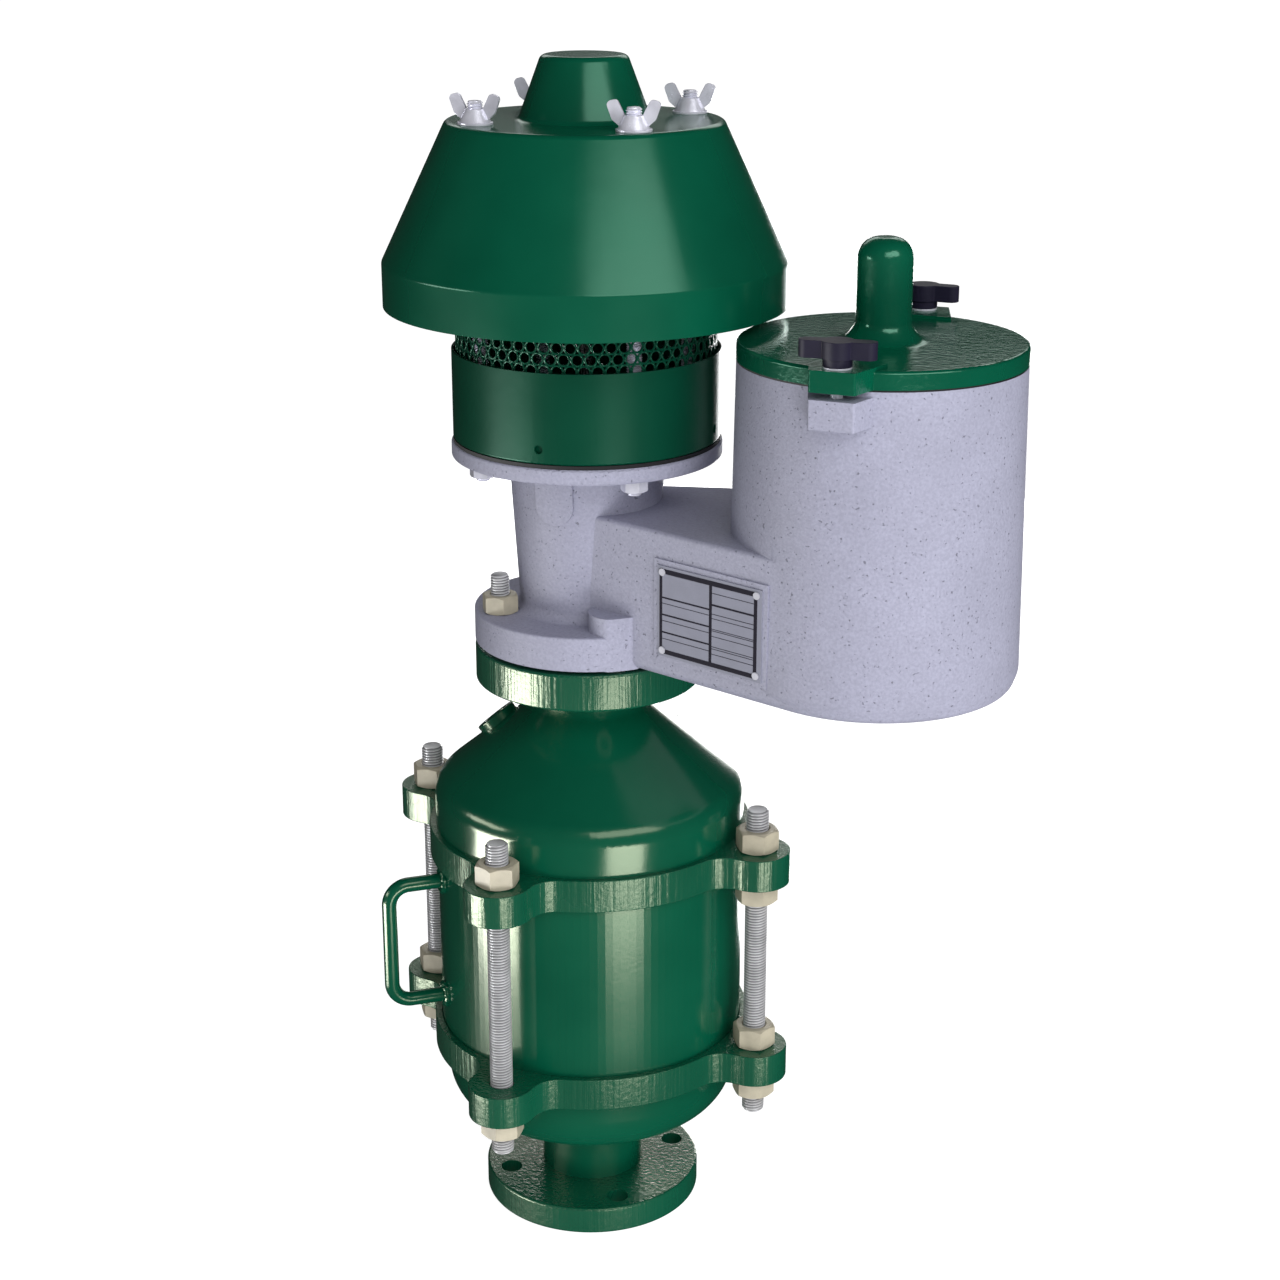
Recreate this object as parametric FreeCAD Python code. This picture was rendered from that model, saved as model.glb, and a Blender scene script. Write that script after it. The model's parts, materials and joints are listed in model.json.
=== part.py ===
# Tank breather valve: a pressure and vacuum relief valve standing on an in-line flame arrestor.
# Millimetres, +Z up. The origin is the centre of the lower flange's face.
# +X runs along the duct, from the main axis to the axis of the vacuum chamber.
import FreeCAD, Part
import math
import os

os.makedirs("parts", exist_ok=True)

# Clearances
running_gap = 0.05
stud_gap = 0.5
guide_gap = 0.3
spigot_gap = 0.1

# Line flanges, three inch class 150, four bolts that straddle the ears
flange_r = 95.25
bolt_circle_r = 76.2
bolt_hole_r = 9.5
bolt_angle = 45.0
pipe_r = 44.45
pipe_wall = 5.5
inlet_flange_thick = 24.0
outlet_flange_thick = 31.0
arrestor_turn = -3.0

# Arrestor: domes, clamp rings, housing and the bank that stops the flame
lower_dome_rise = 124.2
lower_dome_step = 5.0
lower_neck_rise = 51.0
dome_wall = 6.0
dome_knuckle_r = 38.0
dome_fillet_r = 12.0
upper_dome_rise = 130.5
upper_dome_over = 1.0
upper_neck_drop = 20.0
upper_shoulder_rise = 36.0
upper_shoulder_r = 24.0
upper_throat_r = 20.0
ring_over = 6.5
ring_lip = 14.0
ring_thick = 28.0
rabbet_depth = 5.0
gasket_thick = 2.0
ear_count = 4
ear_r = 28.0
ear_blend_r = 24.0
ear_over = 27.0
tie_stud_r = 9.525
tie_nut_flats = 31.75
tie_nut_height = 19.0
tie_stud_over = 17.0
tie_nut_angle = 12.0
upper_jack_nuts = 2
lower_jack_nuts = 3
housing_r = 132.0
housing_wall = 8.0
housing_show = 154.6
ledge_width = 12.0
ledge_height = 8.0
ledge_rise = 12.0
grid_thick = 7.0
grid_hub_r = 17.0
grid_spokes = 6
grid_spoke_width = 8.0
grid_rim = 7.0
bank_length = 88.0
bank_core_r = 8.0
bank_groove_width = 5.0
bank_groove_depth = 4.0
bank_groove_pitch = 18.0
keeper_height = 5.0
keeper_width = 7.0
handle_angle = -135.0
handle_rod_r = 6.35
handle_clear = 47.3
handle_bend_r = 17.0
handle_span = 108.0
handle_rise = 31.0
port_angle = -170.0
port_spot = 0.58
port_r = 19.0
port_thread_r = 10.5
port_length = 20.0
port_sink = 14.0
plug_socket_flats = 9.5
plug_socket_depth = 8.0
plug_show = 3.0

# Valve body casting
line_gasket_thick = 3.0
base_flange_thick = 29.1
line_stud_r = 7.94
line_nut_flats = 27.0
line_nut_height = 15.5
line_nut_angle = 25.0
line_stud_over = 17.0
line_stud_under = 1.5
line_screw_head_r = 12.0
line_screw_head = 16.0
line_screw_recess = 17.0
tapped_boss_r = 22.0
tapped_boss_rise = 15.6
tapped_depth = 36.0
neck_rise = 130.6
neck_foot_r = 56.3
neck_top_r = 64.5
neck_bore_foot_r = 39.0
neck_bore_top_r = 50.0
neck_fillet_r = 8.0
top_flange_r = 111.0
top_flange_thick = 12.6
edge_round = 2.0
port_pad_width = 33.0
port_pad_drop = 47.0
port_pad_proud = 2.5
chamber_reach = 251.0
chamber_top_r = 112.0
chamber_draft = 4.5
chamber_height = 258.2
chamber_wall = 7.0
chamber_foot_round = 17.0
duct_height = 121.7
duct_small_r = 42.0
duct_wall = 8.0
duct_inset = 0.6
duct_foot_round = 9.0
duct_top_round = 3.5
stack_r = 62.0
stack_bore_r = 54.0
stack_height = 165.0
plate_length = 104.0
plate_height = 75.0
plate_thick = 1.2
plate_pad_border = 4.5
plate_pad_proud = 1.6
plate_start = 114.0
plate_rise = 20.5
plate_screw_r = 1.6
plate_screw_head_r = 3.2
plate_screw_inset = 5.0
plate_screw_length = 5.0

# Pressure side: seat, pallet, drum, screen and hood
drum_gasket_thick = 3.0
drum_r = 109.4
drum_height = 72.6
drum_wall = 2.0
drum_floor_thick = 3.0
drum_floor_bore_r = 62.0
drain_r = 3.5
drain_rise = 12.0
drain_angle = 5.0
seat_r = 58.0
seat_flange_thick = 7.0
seat_lip_rise = 9.0
seat_lip_width = 4.0
seat_bore_r = 45.0
seat_spigot_length = 10.0
guide_hub_r = 10.0
guide_arm_width = 5.0
guide_arm_height = 8.0
guide_hub_gap = 1.5
guide_arms = 3
guide_arm_angle = 30.0
pallet_over = 6.0
pallet_thick = 4.0
pallet_hub_r = 14.0
pallet_hub_rise = 10.0
diaphragm_thick = 1.6
stem_r = 5.0
stem_nut_flats = 16.0
stem_nut_height = 7.0
weight_r = 42.0
weight_thick = 6.0
weight_count = 3
pressure_lift = 20.0
screen_gap = 1.4
screen_thick = 1.5
screen_top_gap = 6.0
screen_rows = 3
screen_columns = 30
screen_window = 9.0
screen_pitch = 12.0
hood_overhang = 53.6
hood_gap = 35.6
hood_skirt = 34.9
hood_cone_rise = 110.1
hood_shoulder_land = 17.8
hood_wall = 3.0
hood_crown_clear = 39.4
hood_crown_taper = 18.6
hood_crown_rise = 49.6
hood_crease_round = 5.0
hood_shoulder_round = 6.0
hood_crown_round = 6.0
hood_guide_wall = 4.0
hood_guide_length = 46.0
hood_stud_inset = 17.4
hood_stud_angle = 49.0
hood_stud_count = 4
hood_stud_r = 6.35
hood_stud_over = 6.0
hood_nut_flats = 19.05
hood_nut_height = 11.0
hood_nut_angle = 15.0
washer_r = 14.0
washer_thick = 2.0
wing_hub_foot_r = 12.5
wing_hub_top_r = 7.5
wing_hub_height = 10.0
wing_span = 43.0
wing_rise = 22.0
wing_thick = 3.4
wing_root_round = 5.0
wing_tip_round = 3.5
wing_turns = (15.0, 20.0, 6.0, 15.0)

# Vacuum side: seat, pallet, inlet screen and cover
vacuum_seat_thick = 8.0
vacuum_seat_lip_rise = 6.0
vacuum_stem_end_gap = 6.0
vacuum_lift = 18.0
vacuum_weight_r = 48.0
vacuum_weight_count = 2
cover_gasket_thick = 1.5
cover_gasket_width = 6.0
cover_over = 0.5
cover_thick = 14.0
cover_round = 3.0
guide_dome_r = 21.5
guide_dome_rise = 79.0
guide_dome_foot_r = 31.0
guide_dome_blend = 12.0
guide_dome_round = 16.0
guide_dome_crown = 6.0
cover_turn = 2.5
cover_ear_over = 21.0
cover_ear_front = 17.5
cover_ear_back = 30.0
cover_ear_sink = 20.0
cover_ear_rise = 2.4
body_ear_gap = 4.0
body_ear_height = 22.0
cover_stud_out = 7.0
cover_stud_r = 4.76
cover_stud_sink = 18.0
knob_washer_thick = 1.5
knob_washer_r = 11.0
knob_hub_r = 11.0
knob_hub_height = 6.0
knob_height = 19.0
knob_span = 58.0
knob_tip_r = 6.5
knob_middle_r = 12.5
knob_thread_depth = 14.0
knob_turns = (8.0, 0.0)
inlet_screen_thick = 1.5
screen_bar_width = 3.0
screen_bar_pitch = 12.0
screen_ring_width = 9.0
screen_ring_thick = 4.0
screen_seat_depth = 6.0
screen_seat_over = 9.0
screen_screw_r = 2.5
screen_screw_head_r = 4.2
screen_screw_head = 2.5
screen_screw_length = 12.0
screen_screw_count = 6

# Heights that follow from the stack of pieces
lower_ring_z = inlet_flange_thick + lower_dome_rise
housing_z = lower_ring_z + ring_thick
upper_ring_z = housing_z + housing_show
upper_dome_z = upper_ring_z + ring_thick
outlet_flange_z = upper_dome_z + upper_dome_rise
line_gasket_z = outlet_flange_z + outlet_flange_thick
body_z = line_gasket_z + line_gasket_thick
base_flange_top_z = body_z + base_flange_thick
top_flange_z = base_flange_top_z + neck_rise
drum_gasket_z = top_flange_z + top_flange_thick
drum_z = drum_gasket_z + drum_gasket_thick
drum_floor_z = drum_z + drum_floor_thick
hood_z = drum_z + drum_height + hood_gap
shoulder_z = hood_z + hood_skirt + hood_cone_rise
hood_top_z = shoulder_z + hood_crown_rise
chamber_top_z = body_z + chamber_height
cover_z = chamber_top_z + cover_gasket_thick
cover_top_z = cover_z + cover_thick
stack_top_z = body_z + stack_height
pressure_pallet_z = drum_gasket_z + seat_flange_thick + seat_lip_rise
vacuum_pallet_z = stack_top_z + vacuum_seat_thick + vacuum_seat_lip_rise

# Sizes that follow from their neighbours
ring_r = housing_r + ring_over
ring_bore_r = housing_r - ring_lip
tie_circle_r = housing_r + ear_over
lower_dome_r = housing_r - lower_dome_step
upper_dome_r = housing_r + upper_dome_over
handle_reach = housing_r + handle_clear
chamber_foot_r = chamber_top_r + chamber_draft
cover_r = chamber_top_r + cover_over
cover_ear_reach = chamber_top_r + cover_ear_over
cover_ear_root = chamber_top_r - cover_ear_sink
cover_stud_circle_r = chamber_top_r + cover_stud_out
hood_stud_circle_r = drum_r - hood_stud_inset
hood_r = drum_r + hood_overhang
hood_shoulder_r = hood_stud_circle_r + hood_shoulder_land
hood_crown_foot_r = hood_stud_circle_r - hood_crown_clear
hood_crown_top_r = hood_crown_foot_r - hood_crown_taper
housing_bore_r = housing_r - housing_wall
bank_r = housing_bore_r - spigot_gap
pipe_bore_r = pipe_r - pipe_wall
duct_large_r = chamber_top_r + (chamber_foot_r - chamber_top_r) * (
    1.0 - duct_height / chamber_height
) - duct_inset
duct_slope = math.asin((duct_large_r - duct_small_r) / chamber_reach)
seat_lip_r = seat_bore_r + seat_lip_width
stack_lip_r = stack_bore_r - screen_ring_thick
UP = FreeCAD.Vector(0, 0, 1)


def polar(radius, degrees):
    """The X and Y of a point at a radius and an angle about the main axis."""
    turn = math.radians(degrees)
    return radius * math.cos(turn), radius * math.sin(turn)


def spread(count, first):
    """Evenly spaced angles round a full turn, in degrees."""
    return [first + 360.0 * step / count for step in range(count)]


def rounded_wire(corners, place):
    """A closed wire through (u, v, radius) corners, each rounded by its own radius."""
    ends = []
    edges = []
    for at, (u, v, radius) in enumerate(corners):
        here = FreeCAD.Vector(u, v, 0)
        before = FreeCAD.Vector(*corners[at - 1][:2], 0) - here
        after = FreeCAD.Vector(*corners[(at + 1) % len(corners)][:2], 0) - here
        before.normalize()
        after.normalize()
        half = before.getAngle(after) / 2.0
        if radius == 0 or math.isclose(half, math.pi / 2.0):
            ends.append((place(here), place(here)))
            continue
        reach = radius / math.tan(half)
        middle = (before + after).normalize() * (radius / math.sin(half) - radius)
        arc = [place(here + way) for way in (before * reach, middle, after * reach)]
        edges.append(Part.Arc(*arc).toShape())
        ends.append((arc[0], arc[2]))
    for at, (arrive, leave) in enumerate(ends):
        start = ends[at - 1][1]
        if start.distanceToPoint(arrive) > 1e-6:
            edges.append(Part.LineSegment(start, arrive).toShape())
    return Part.Wire(Part.__sortEdges__(edges))


def lathe(corners, x=0.0, y=0.0):
    """A turned solid from an outline of (radius, height, rounding) corners."""
    wire = rounded_wire(corners, lambda p: FreeCAD.Vector(x + p.x, y, p.y))
    return Part.Face(wire).revolve(FreeCAD.Vector(x, y, 0), UP, 360)


def prism(corners, low, high):
    """A plan outline of (x, y, rounding) corners, raised from one height to another."""
    wire = rounded_wire(corners, lambda p: FreeCAD.Vector(p.x, p.y, low))
    return Part.Face(wire).extrude(UP * (high - low))


def rod(radius, low, high, x=0.0, y=0.0):
    """An upright round bar."""
    return Part.makeCylinder(radius, high - low, FreeCAD.Vector(x, y, low))


def tube(outer_r, inner_r, low, high, x=0.0, y=0.0):
    """An upright round tube or washer."""
    return rod(outer_r, low, high, x, y).cut(rod(inner_r, low, high, x, y))


def turned(shape, degrees, x=0.0, y=0.0):
    """A shape turned about an upright line."""
    copy = shape.copy()
    copy.rotate(FreeCAD.Vector(x, y, 0), UP, degrees)
    return copy


def hexagon(flats, low, high, x=0.0, y=0.0, degrees=0.0):
    """A six-sided bar of a given width across its flats."""
    radius = flats / math.sqrt(3.0)
    corners = [(*polar(radius, angle), 0) for angle in spread(6, degrees)]
    return prism([(x + u, y + v, 0) for u, v, _ in corners], low, high)


def hex_nut(flats, height, bore, low, x, y, degrees=0.0):
    """A hexagon nut with a plain bore."""
    return hexagon(flats, low, low + height, x, y, degrees).cut(rod(bore, low, low + height, x, y))


def sheet_outline(corners, wall):
    """A sheet of even wall on the left of an open line of (radius, height, rounding) corners."""
    points = [FreeCAD.Vector(u, v, 0) for u, v, _ in corners]
    runs = [(b - a).normalize() for a, b in zip(points, points[1:])]
    sides = [FreeCAD.Vector(-run.y, run.x, 0) for run in runs]
    inner = []
    for at, (point, corner) in enumerate(zip(points, corners)):
        first = sides[max(at - 1, 0)]
        second = sides[min(at, len(sides) - 1)]
        shift = (first + second) * (wall / (1.0 + first.dot(second)))
        bend = first.cross(second).z
        rounding = corner[2] and max(corner[2] - math.copysign(wall, bend), 0.0)
        inner.append((point.x + shift.x, point.y + shift.y, rounding))
    return list(corners) + inner[::-1]


def save(name, *solids):
    """Write one node as its own file."""
    shape = solids[0] if len(solids) == 1 else Part.makeCompound(list(solids))
    shape.exportStep("parts/" + name + ".step")


def line_flange(low, thick, bore, holes):
    """A flat-faced line flange with its bolt holes, given as pairs of radius and angle."""
    high = low + thick
    disc = lathe([(bore, low, 0), (flange_r, low, edge_round), (flange_r, high, edge_round), (bore, high, 0)])
    return disc.cut([rod(radius, low, high, *polar(bolt_circle_r, angle)) for radius, angle in holes])


def bolt_angles():
    """The line bolts straddle the ears of the arrestor."""
    return spread(4, arrestor_turn + bolt_angle)


def through_angles():
    """The two bolts behind the neck, which pass right through the body's flange."""
    return bolt_angles()[1:3]


def tapped_angles():
    """The two bolts under the duct, which end in the body's bosses."""
    return [bolt_angles()[0], bolt_angles()[3]]


def inlet_flange():
    """Lower line flange, welded to the neck of the lower dome."""
    holes = [(bolt_hole_r, angle) for angle in bolt_angles()]
    return line_flange(0.0, inlet_flange_thick, pipe_r, holes)


def lower_dome():
    """Dished lower end with its pipe neck, which passes through the flange."""
    outline = [
        (pipe_r, 0.0, 0),
        (pipe_r, inlet_flange_thick + lower_neck_rise, dome_fillet_r),
        (lower_dome_r, inlet_flange_thick + lower_dome_rise * 0.62, dome_knuckle_r),
        (lower_dome_r, lower_ring_z, 0),
    ]
    return lathe(sheet_outline(outline, dome_wall))


def upper_dome_outline():
    """Outside of the conical upper end, from its shoulder to its pipe neck."""
    return [
        (upper_dome_r, upper_dome_z, 0),
        (upper_dome_r, upper_dome_z + upper_shoulder_rise, upper_shoulder_r),
        (pipe_r, outlet_flange_z - upper_neck_drop, upper_throat_r),
        (pipe_r, line_gasket_z, 0),
    ]


def port_frame(shape):
    """Move a fitting drawn along +Z at the origin to its spot on the cone, square to the slope."""
    outline = upper_dome_outline()
    low = FreeCAD.Vector(outline[1][0], 0, outline[1][1])
    high = FreeCAD.Vector(outline[2][0], 0, outline[2][1])
    slope = math.degrees(math.atan2(high.z - low.z, low.x - high.x))
    spot = low + (high - low) * port_spot
    shape.rotate(FreeCAD.Vector(0, 0, 0), FreeCAD.Vector(0, 1, 0), slope)
    shape.translate(spot)
    shape.rotate(FreeCAD.Vector(0, 0, 0), UP, port_angle + arrestor_turn)
    return shape


def upper_dome():
    """Conical upper end, with the hole that its port coupling is welded into."""
    shell = lathe(sheet_outline(upper_dome_outline(), dome_wall))
    return shell.cut(port_frame(rod(port_r, -port_length, port_length)))


def outlet_flange():
    """Upper line flange of the arrestor: two tapped holes, and two counterbored from below."""
    holes = [(line_stud_r + running_gap, angle) for angle in through_angles()]
    holes += [(bolt_hole_r, angle) for angle in tapped_angles()]
    recesses = []
    for angle in tapped_angles():
        spot = polar(bolt_circle_r, angle)
        recesses.append(
            rod(line_screw_head_r + stud_gap, outlet_flange_z, outlet_flange_z + line_screw_recess, *spot)
        )
    return line_flange(outlet_flange_z, outlet_flange_thick, pipe_r, holes).cut(recesses)


def port_coupling():
    """Short threaded coupling for a gauge."""
    return port_frame(tube(port_r, port_thread_r, -port_sink, port_length - port_sink))


def port_plug():
    """Socket plug that closes the coupling."""
    top = port_length - port_sink - plug_show
    plug = rod(port_thread_r, -port_sink, top)
    return port_frame(plug.cut(hexagon(plug_socket_flats, top - plug_socket_depth, top)))


def clamp_ring(low, rabbet_low):
    """Ring with four bolt ears and a rabbet that holds one end of the housing."""
    high = low + ring_thick
    plan = rod(ring_r, low, high)
    for angle in spread(ear_count, arrestor_turn):
        tip = rod(ear_r, low, high, tie_circle_r, 0.0)
        arm = Part.makeBox(tie_circle_r - ring_bore_r, 2.0 * ear_r, ring_thick)
        arm.translate(FreeCAD.Vector(ring_bore_r, -ear_r, low))
        plan = plan.fuse(turned(tip.fuse(arm), angle))
    plan = plan.removeSplitter()
    roots = [edge for edge in plan.Edges if is_ear_root(edge)]
    plan = plan.makeFillet(ear_blend_r, roots)
    tools = [rod(ring_bore_r, low, high), rod(housing_r + spigot_gap, rabbet_low, rabbet_low + rabbet_depth)]
    tools += [rod(tie_stud_r + stud_gap, low, high, *polar(tie_circle_r, a)) for a in tie_angles()]
    return plan.cut(tools)


def is_ear_root(edge):
    """True for the upright corners where an ear leaves the ring."""
    ends = [vertex.Point for vertex in edge.Vertexes]
    on_ring = all(math.isclose(math.hypot(p.x, p.y), ring_r, abs_tol=1e-4) for p in ends)
    return on_ring and len(ends) == 2 and math.isclose(abs(ends[0].z - ends[1].z), ring_thick, abs_tol=1e-4)


def tie_angles():
    """The angles of the four ears."""
    return spread(ear_count, arrestor_turn)


def housing_ends():
    """Lowest and highest points of the housing, which stands on a gasket in each rabbet."""
    sink = rabbet_depth - gasket_thick
    return housing_z - sink, upper_ring_z + sink


def element_housing():
    """Round housing with an inside ledge below and a keeper groove above."""
    low, high = housing_ends()
    ledge_top = low + ledge_rise + ledge_height
    outline = [
        (housing_bore_r, low, 0),
        (housing_r, low, 0),
        (housing_r, high, 0),
        (housing_bore_r, high, 0),
        (housing_bore_r, ledge_top, 0),
        (housing_bore_r - ledge_width, ledge_top, 0),
        (housing_bore_r - ledge_width, low + ledge_rise, 0),
        (housing_bore_r, low + ledge_rise, 0),
    ]
    return lathe(outline).cut(keeper_ring())


def grid_levels():
    """Heights of the lower grid, the bank, the upper grid and the keeper."""
    lower = housing_ends()[0] + ledge_rise + ledge_height
    bank = lower + grid_thick
    upper = bank + bank_length
    return lower, bank, upper, upper + grid_thick


def keeper_ring():
    """The flat ring that keeps the bank down, half of it in the housing's groove."""
    low = grid_levels()[3]
    half = keeper_width / 2.0
    return tube(housing_bore_r + half, housing_bore_r - half, low, low + keeper_height)


def bank_keeper():
    """Keeper ring, split so that it can be sprung into its groove."""
    low = grid_levels()[3]
    gap = Part.makeBox(2.0 * keeper_width, 2.0 * keeper_width, keeper_height)
    gap.translate(FreeCAD.Vector(housing_bore_r - keeper_width, -keeper_width, low))
    return keeper_ring().cut(gap)


def support_grid(low):
    """Spoked wheel that carries the bank and lets the flow through."""
    high = low + grid_thick
    wheel = tube(bank_r, bank_r - grid_rim, low, high)
    wheel = wheel.fuse(rod(grid_hub_r, low, high))
    for angle in spread(grid_spokes, 0.0):
        spoke = Part.makeBox(bank_r - grid_rim / 2.0 - grid_hub_r / 2.0, grid_spoke_width, grid_thick)
        spoke.translate(FreeCAD.Vector(grid_hub_r / 2.0, -grid_spoke_width / 2.0, low))
        wheel = wheel.fuse(turned(spoke, angle))
    return wheel.removeSplitter().cut(rod(bank_core_r, low, high))


def flame_element():
    """Wound bank of crimped ribbon, drawn as one block with ring grooves in both faces."""
    low = grid_levels()[1]
    high = low + bank_length
    bank = tube(bank_r, bank_core_r, low, high)
    grooves = []
    radius = bank_core_r + bank_groove_pitch
    while radius + bank_groove_width < bank_r:
        outer = radius + bank_groove_width
        grooves.append(tube(outer, radius, low, low + bank_groove_depth))
        grooves.append(tube(outer, radius, high - bank_groove_depth, high))
        radius += bank_groove_pitch
    return bank.cut(grooves)


def bank_core():
    """Bar through the middle of the bank and both grids."""
    lower, _, _, top = grid_levels()
    return rod(bank_core_r, lower, top)


def tie_studs():
    """Four threaded studs that draw the clamp rings together."""
    low = lower_ring_z - tie_nut_height - tie_stud_over
    high = upper_dome_z + tie_nut_height + tie_stud_over
    return [rod(tie_stud_r, low, high, *polar(tie_circle_r, angle)) for angle in tie_angles()]


def tie_nut(low, angle):
    """One heavy nut on a tie stud, a flat facing outward."""
    x, y = polar(tie_circle_r, angle)
    return hex_nut(tie_nut_flats, tie_nut_height, tie_stud_r + running_gap, low, x, y, angle + tie_nut_angle)


def tie_nuts():
    """Outer nuts, above the upper ring and under the lower one."""
    levels = (upper_dome_z, lower_ring_z - tie_nut_height)
    return [tie_nut(low, angle) for low in levels for angle in tie_angles()]


def jack_nuts():
    """Inner nuts that spread the rings when the bank is drawn. Not every stud has them."""
    angles = tie_angles()
    high = [tie_nut(upper_ring_z - tie_nut_height, angle) for angle in angles[:upper_jack_nuts]]
    return high + [tie_nut(housing_z, angle) for angle in angles[:lower_jack_nuts]]


def carrying_handle():
    """Bent round bar, both legs coped to the housing."""
    low = housing_z + handle_rise
    high = low + handle_span
    root = housing_r - housing_wall / 2.0
    straight = handle_reach - handle_bend_r
    step = handle_bend_r * (1.0 - math.sqrt(0.5))
    points = [
        (root, low),
        (straight, low),
        (handle_reach - step, low + step),
        (handle_reach, low + handle_bend_r),
        (handle_reach, high - handle_bend_r),
        (handle_reach - step, high - step),
        (straight, high),
        (root, high),
    ]
    p = [FreeCAD.Vector(x, 0, z) for x, z in points]
    path = Part.Wire([
        Part.LineSegment(p[0], p[1]).toShape(),
        Part.Arc(p[1], p[2], p[3]).toShape(),
        Part.LineSegment(p[3], p[4]).toShape(),
        Part.Arc(p[4], p[5], p[6]).toShape(),
        Part.LineSegment(p[6], p[7]).toShape(),
    ])
    ring = Part.Wire([Part.makeCircle(handle_rod_r, p[0], FreeCAD.Vector(1, 0, 0))])
    bar = path.makePipeShell([ring], True, True)
    bar = bar.cut(rod(housing_r, low - 2.0 * handle_rod_r, high + 2.0 * handle_rod_r))
    return turned(bar, handle_angle + arrestor_turn)


def line_gasket():
    """Ring gasket between the arrestor and the valve, inside the bolts."""
    return tube(bolt_circle_r - bolt_hole_r, neck_bore_foot_r, line_gasket_z, body_z)


def duct_outline(inset):
    """Plan of the duct: two circles and the lines tangent to both, in four edges."""
    small = duct_small_r - inset
    large = duct_large_r - inset
    lean = math.sin(duct_slope)
    rise = math.cos(duct_slope)

    def rim(x, radius, side):
        return FreeCAD.Vector(x - radius * lean, side * radius * rise, 0)

    front = rim(0.0, small, -1.0), rim(chamber_reach, large, -1.0)
    rear = rim(0.0, small, 1.0), rim(chamber_reach, large, 1.0)
    return Part.Wire([
        Part.LineSegment(*front).toShape(),
        Part.Arc(front[1], FreeCAD.Vector(chamber_reach + large, 0, 0), rear[1]).toShape(),
        Part.LineSegment(rear[1], rear[0]).toShape(),
        Part.Arc(rear[0], FreeCAD.Vector(-small, 0, 0), front[0]).toShape(),
    ])


def duct_solid(inset, low, high):
    """The duct's plan raised between two heights."""
    shape = Part.Face(duct_outline(inset)).extrude(UP * (high - low))
    shape.translate(UP * low)
    return shape


def edges_at(shape, height):
    """The edges of a shape that lie flat at one height."""
    return [
        edge
        for edge in shape.Edges
        if math.isclose(edge.BoundBox.ZMin, height, abs_tol=1e-4)
        and math.isclose(edge.BoundBox.ZMax, height, abs_tol=1e-4)
    ]


def duct_outside():
    """Outside of the duct, with its cast edges rounded."""
    top = body_z + duct_height
    shape = duct_solid(0.0, body_z, top)
    shape = shape.makeFillet(duct_foot_round, edges_at(shape, body_z))
    return shape.makeFillet(duct_top_round, edges_at(shape, top))


def neck_radius(height):
    """Outside radius of the tapered neck at a height."""
    share = (height - base_flange_top_z) / neck_rise
    return neck_foot_r + (neck_top_r - neck_foot_r) * share


def neck_bore_radius(height):
    """Inside radius of the tapered neck at a height."""
    share = (height - body_z) / (drum_gasket_z - body_z)
    return neck_bore_foot_r + (neck_bore_top_r - neck_bore_foot_r) * share


def main_column():
    """Base flange, tapered neck and top flange, turned in one."""
    top = drum_gasket_z
    return lathe([
        (0.0, body_z, 0),
        (flange_r, body_z, edge_round),
        (flange_r, base_flange_top_z, edge_round),
        (neck_foot_r, base_flange_top_z, neck_fillet_r),
        (neck_top_r, top_flange_z, edge_round),
        (top_flange_r, top_flange_z, edge_round),
        (top_flange_r, top, edge_round),
        (0.0, top, 0),
    ])


def chamber_outside():
    """Outside of the vacuum chamber, drafted and rounded at its foot."""
    return lathe(
        [
            (0.0, body_z, 0),
            (chamber_foot_r, body_z, chamber_foot_round),
            (chamber_top_r, chamber_top_z, 0),
            (0.0, chamber_top_z, 0),
        ],
        chamber_reach,
    )


def tapped_bosses():
    """Two bosses under the duct's flanks, where the studs are screwed into the body."""
    top = base_flange_top_z + tapped_boss_rise
    solids = []
    for angle in tapped_angles():
        solids.append(rod(tapped_boss_r, body_z, top, *polar(bolt_circle_r, angle)))
    return [solid.common(rod(flange_r, body_z, top)) for solid in solids]


def port_pad():
    """Raised pad with a round foot on the neck, a little prouder than its taper."""
    half = port_pad_width / 2.0
    foot = top_flange_z - port_pad_drop
    proud = lathe([
        (0.0, foot, 0),
        (neck_radius(foot) + port_pad_proud, foot, 0),
        (neck_top_r + port_pad_proud, top_flange_z, 0),
        (0.0, top_flange_z, 0),
    ])
    middle = foot + half
    arc = Part.Arc(
        FreeCAD.Vector(-half, 0, middle), FreeCAD.Vector(0, 0, foot), FreeCAD.Vector(half, 0, middle)
    )
    sides = [(half, middle), (half, top_flange_z), (-half, top_flange_z), (-half, middle)]
    points = [FreeCAD.Vector(x, 0, z) for x, z in sides]
    lines = [Part.LineSegment(a, b).toShape() for a, b in zip(points, points[1:])]
    wire = Part.Wire([arc.toShape()] + lines)
    return proud.common(Part.Face(wire).extrude(FreeCAD.Vector(0, -2.0 * neck_top_r, 0)))


def ear_block(low, high, side):
    """A bolt ear with sloping cheeks, on one side of the chamber."""
    corners = [
        (-cover_ear_back, cover_ear_root, 0),
        (-cover_ear_front, cover_ear_reach, edge_round),
        (cover_ear_front, cover_ear_reach, edge_round),
        (cover_ear_back, cover_ear_root, 0),
    ]
    block = prism([(x, y, r) for x, y, r in corners], low, high)
    block.translate(FreeCAD.Vector(chamber_reach, 0, 0))
    return turned(block, cover_turn + (0.0 if side > 0 else 180.0), chamber_reach)


def cover_stud_spots():
    """The X and Y of the two cover studs."""
    spots = [polar(cover_stud_circle_r, cover_turn + 90.0 * side) for side in (-1.0, 1.0)]
    return [(chamber_reach + x, y) for x, y in spots]


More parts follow.
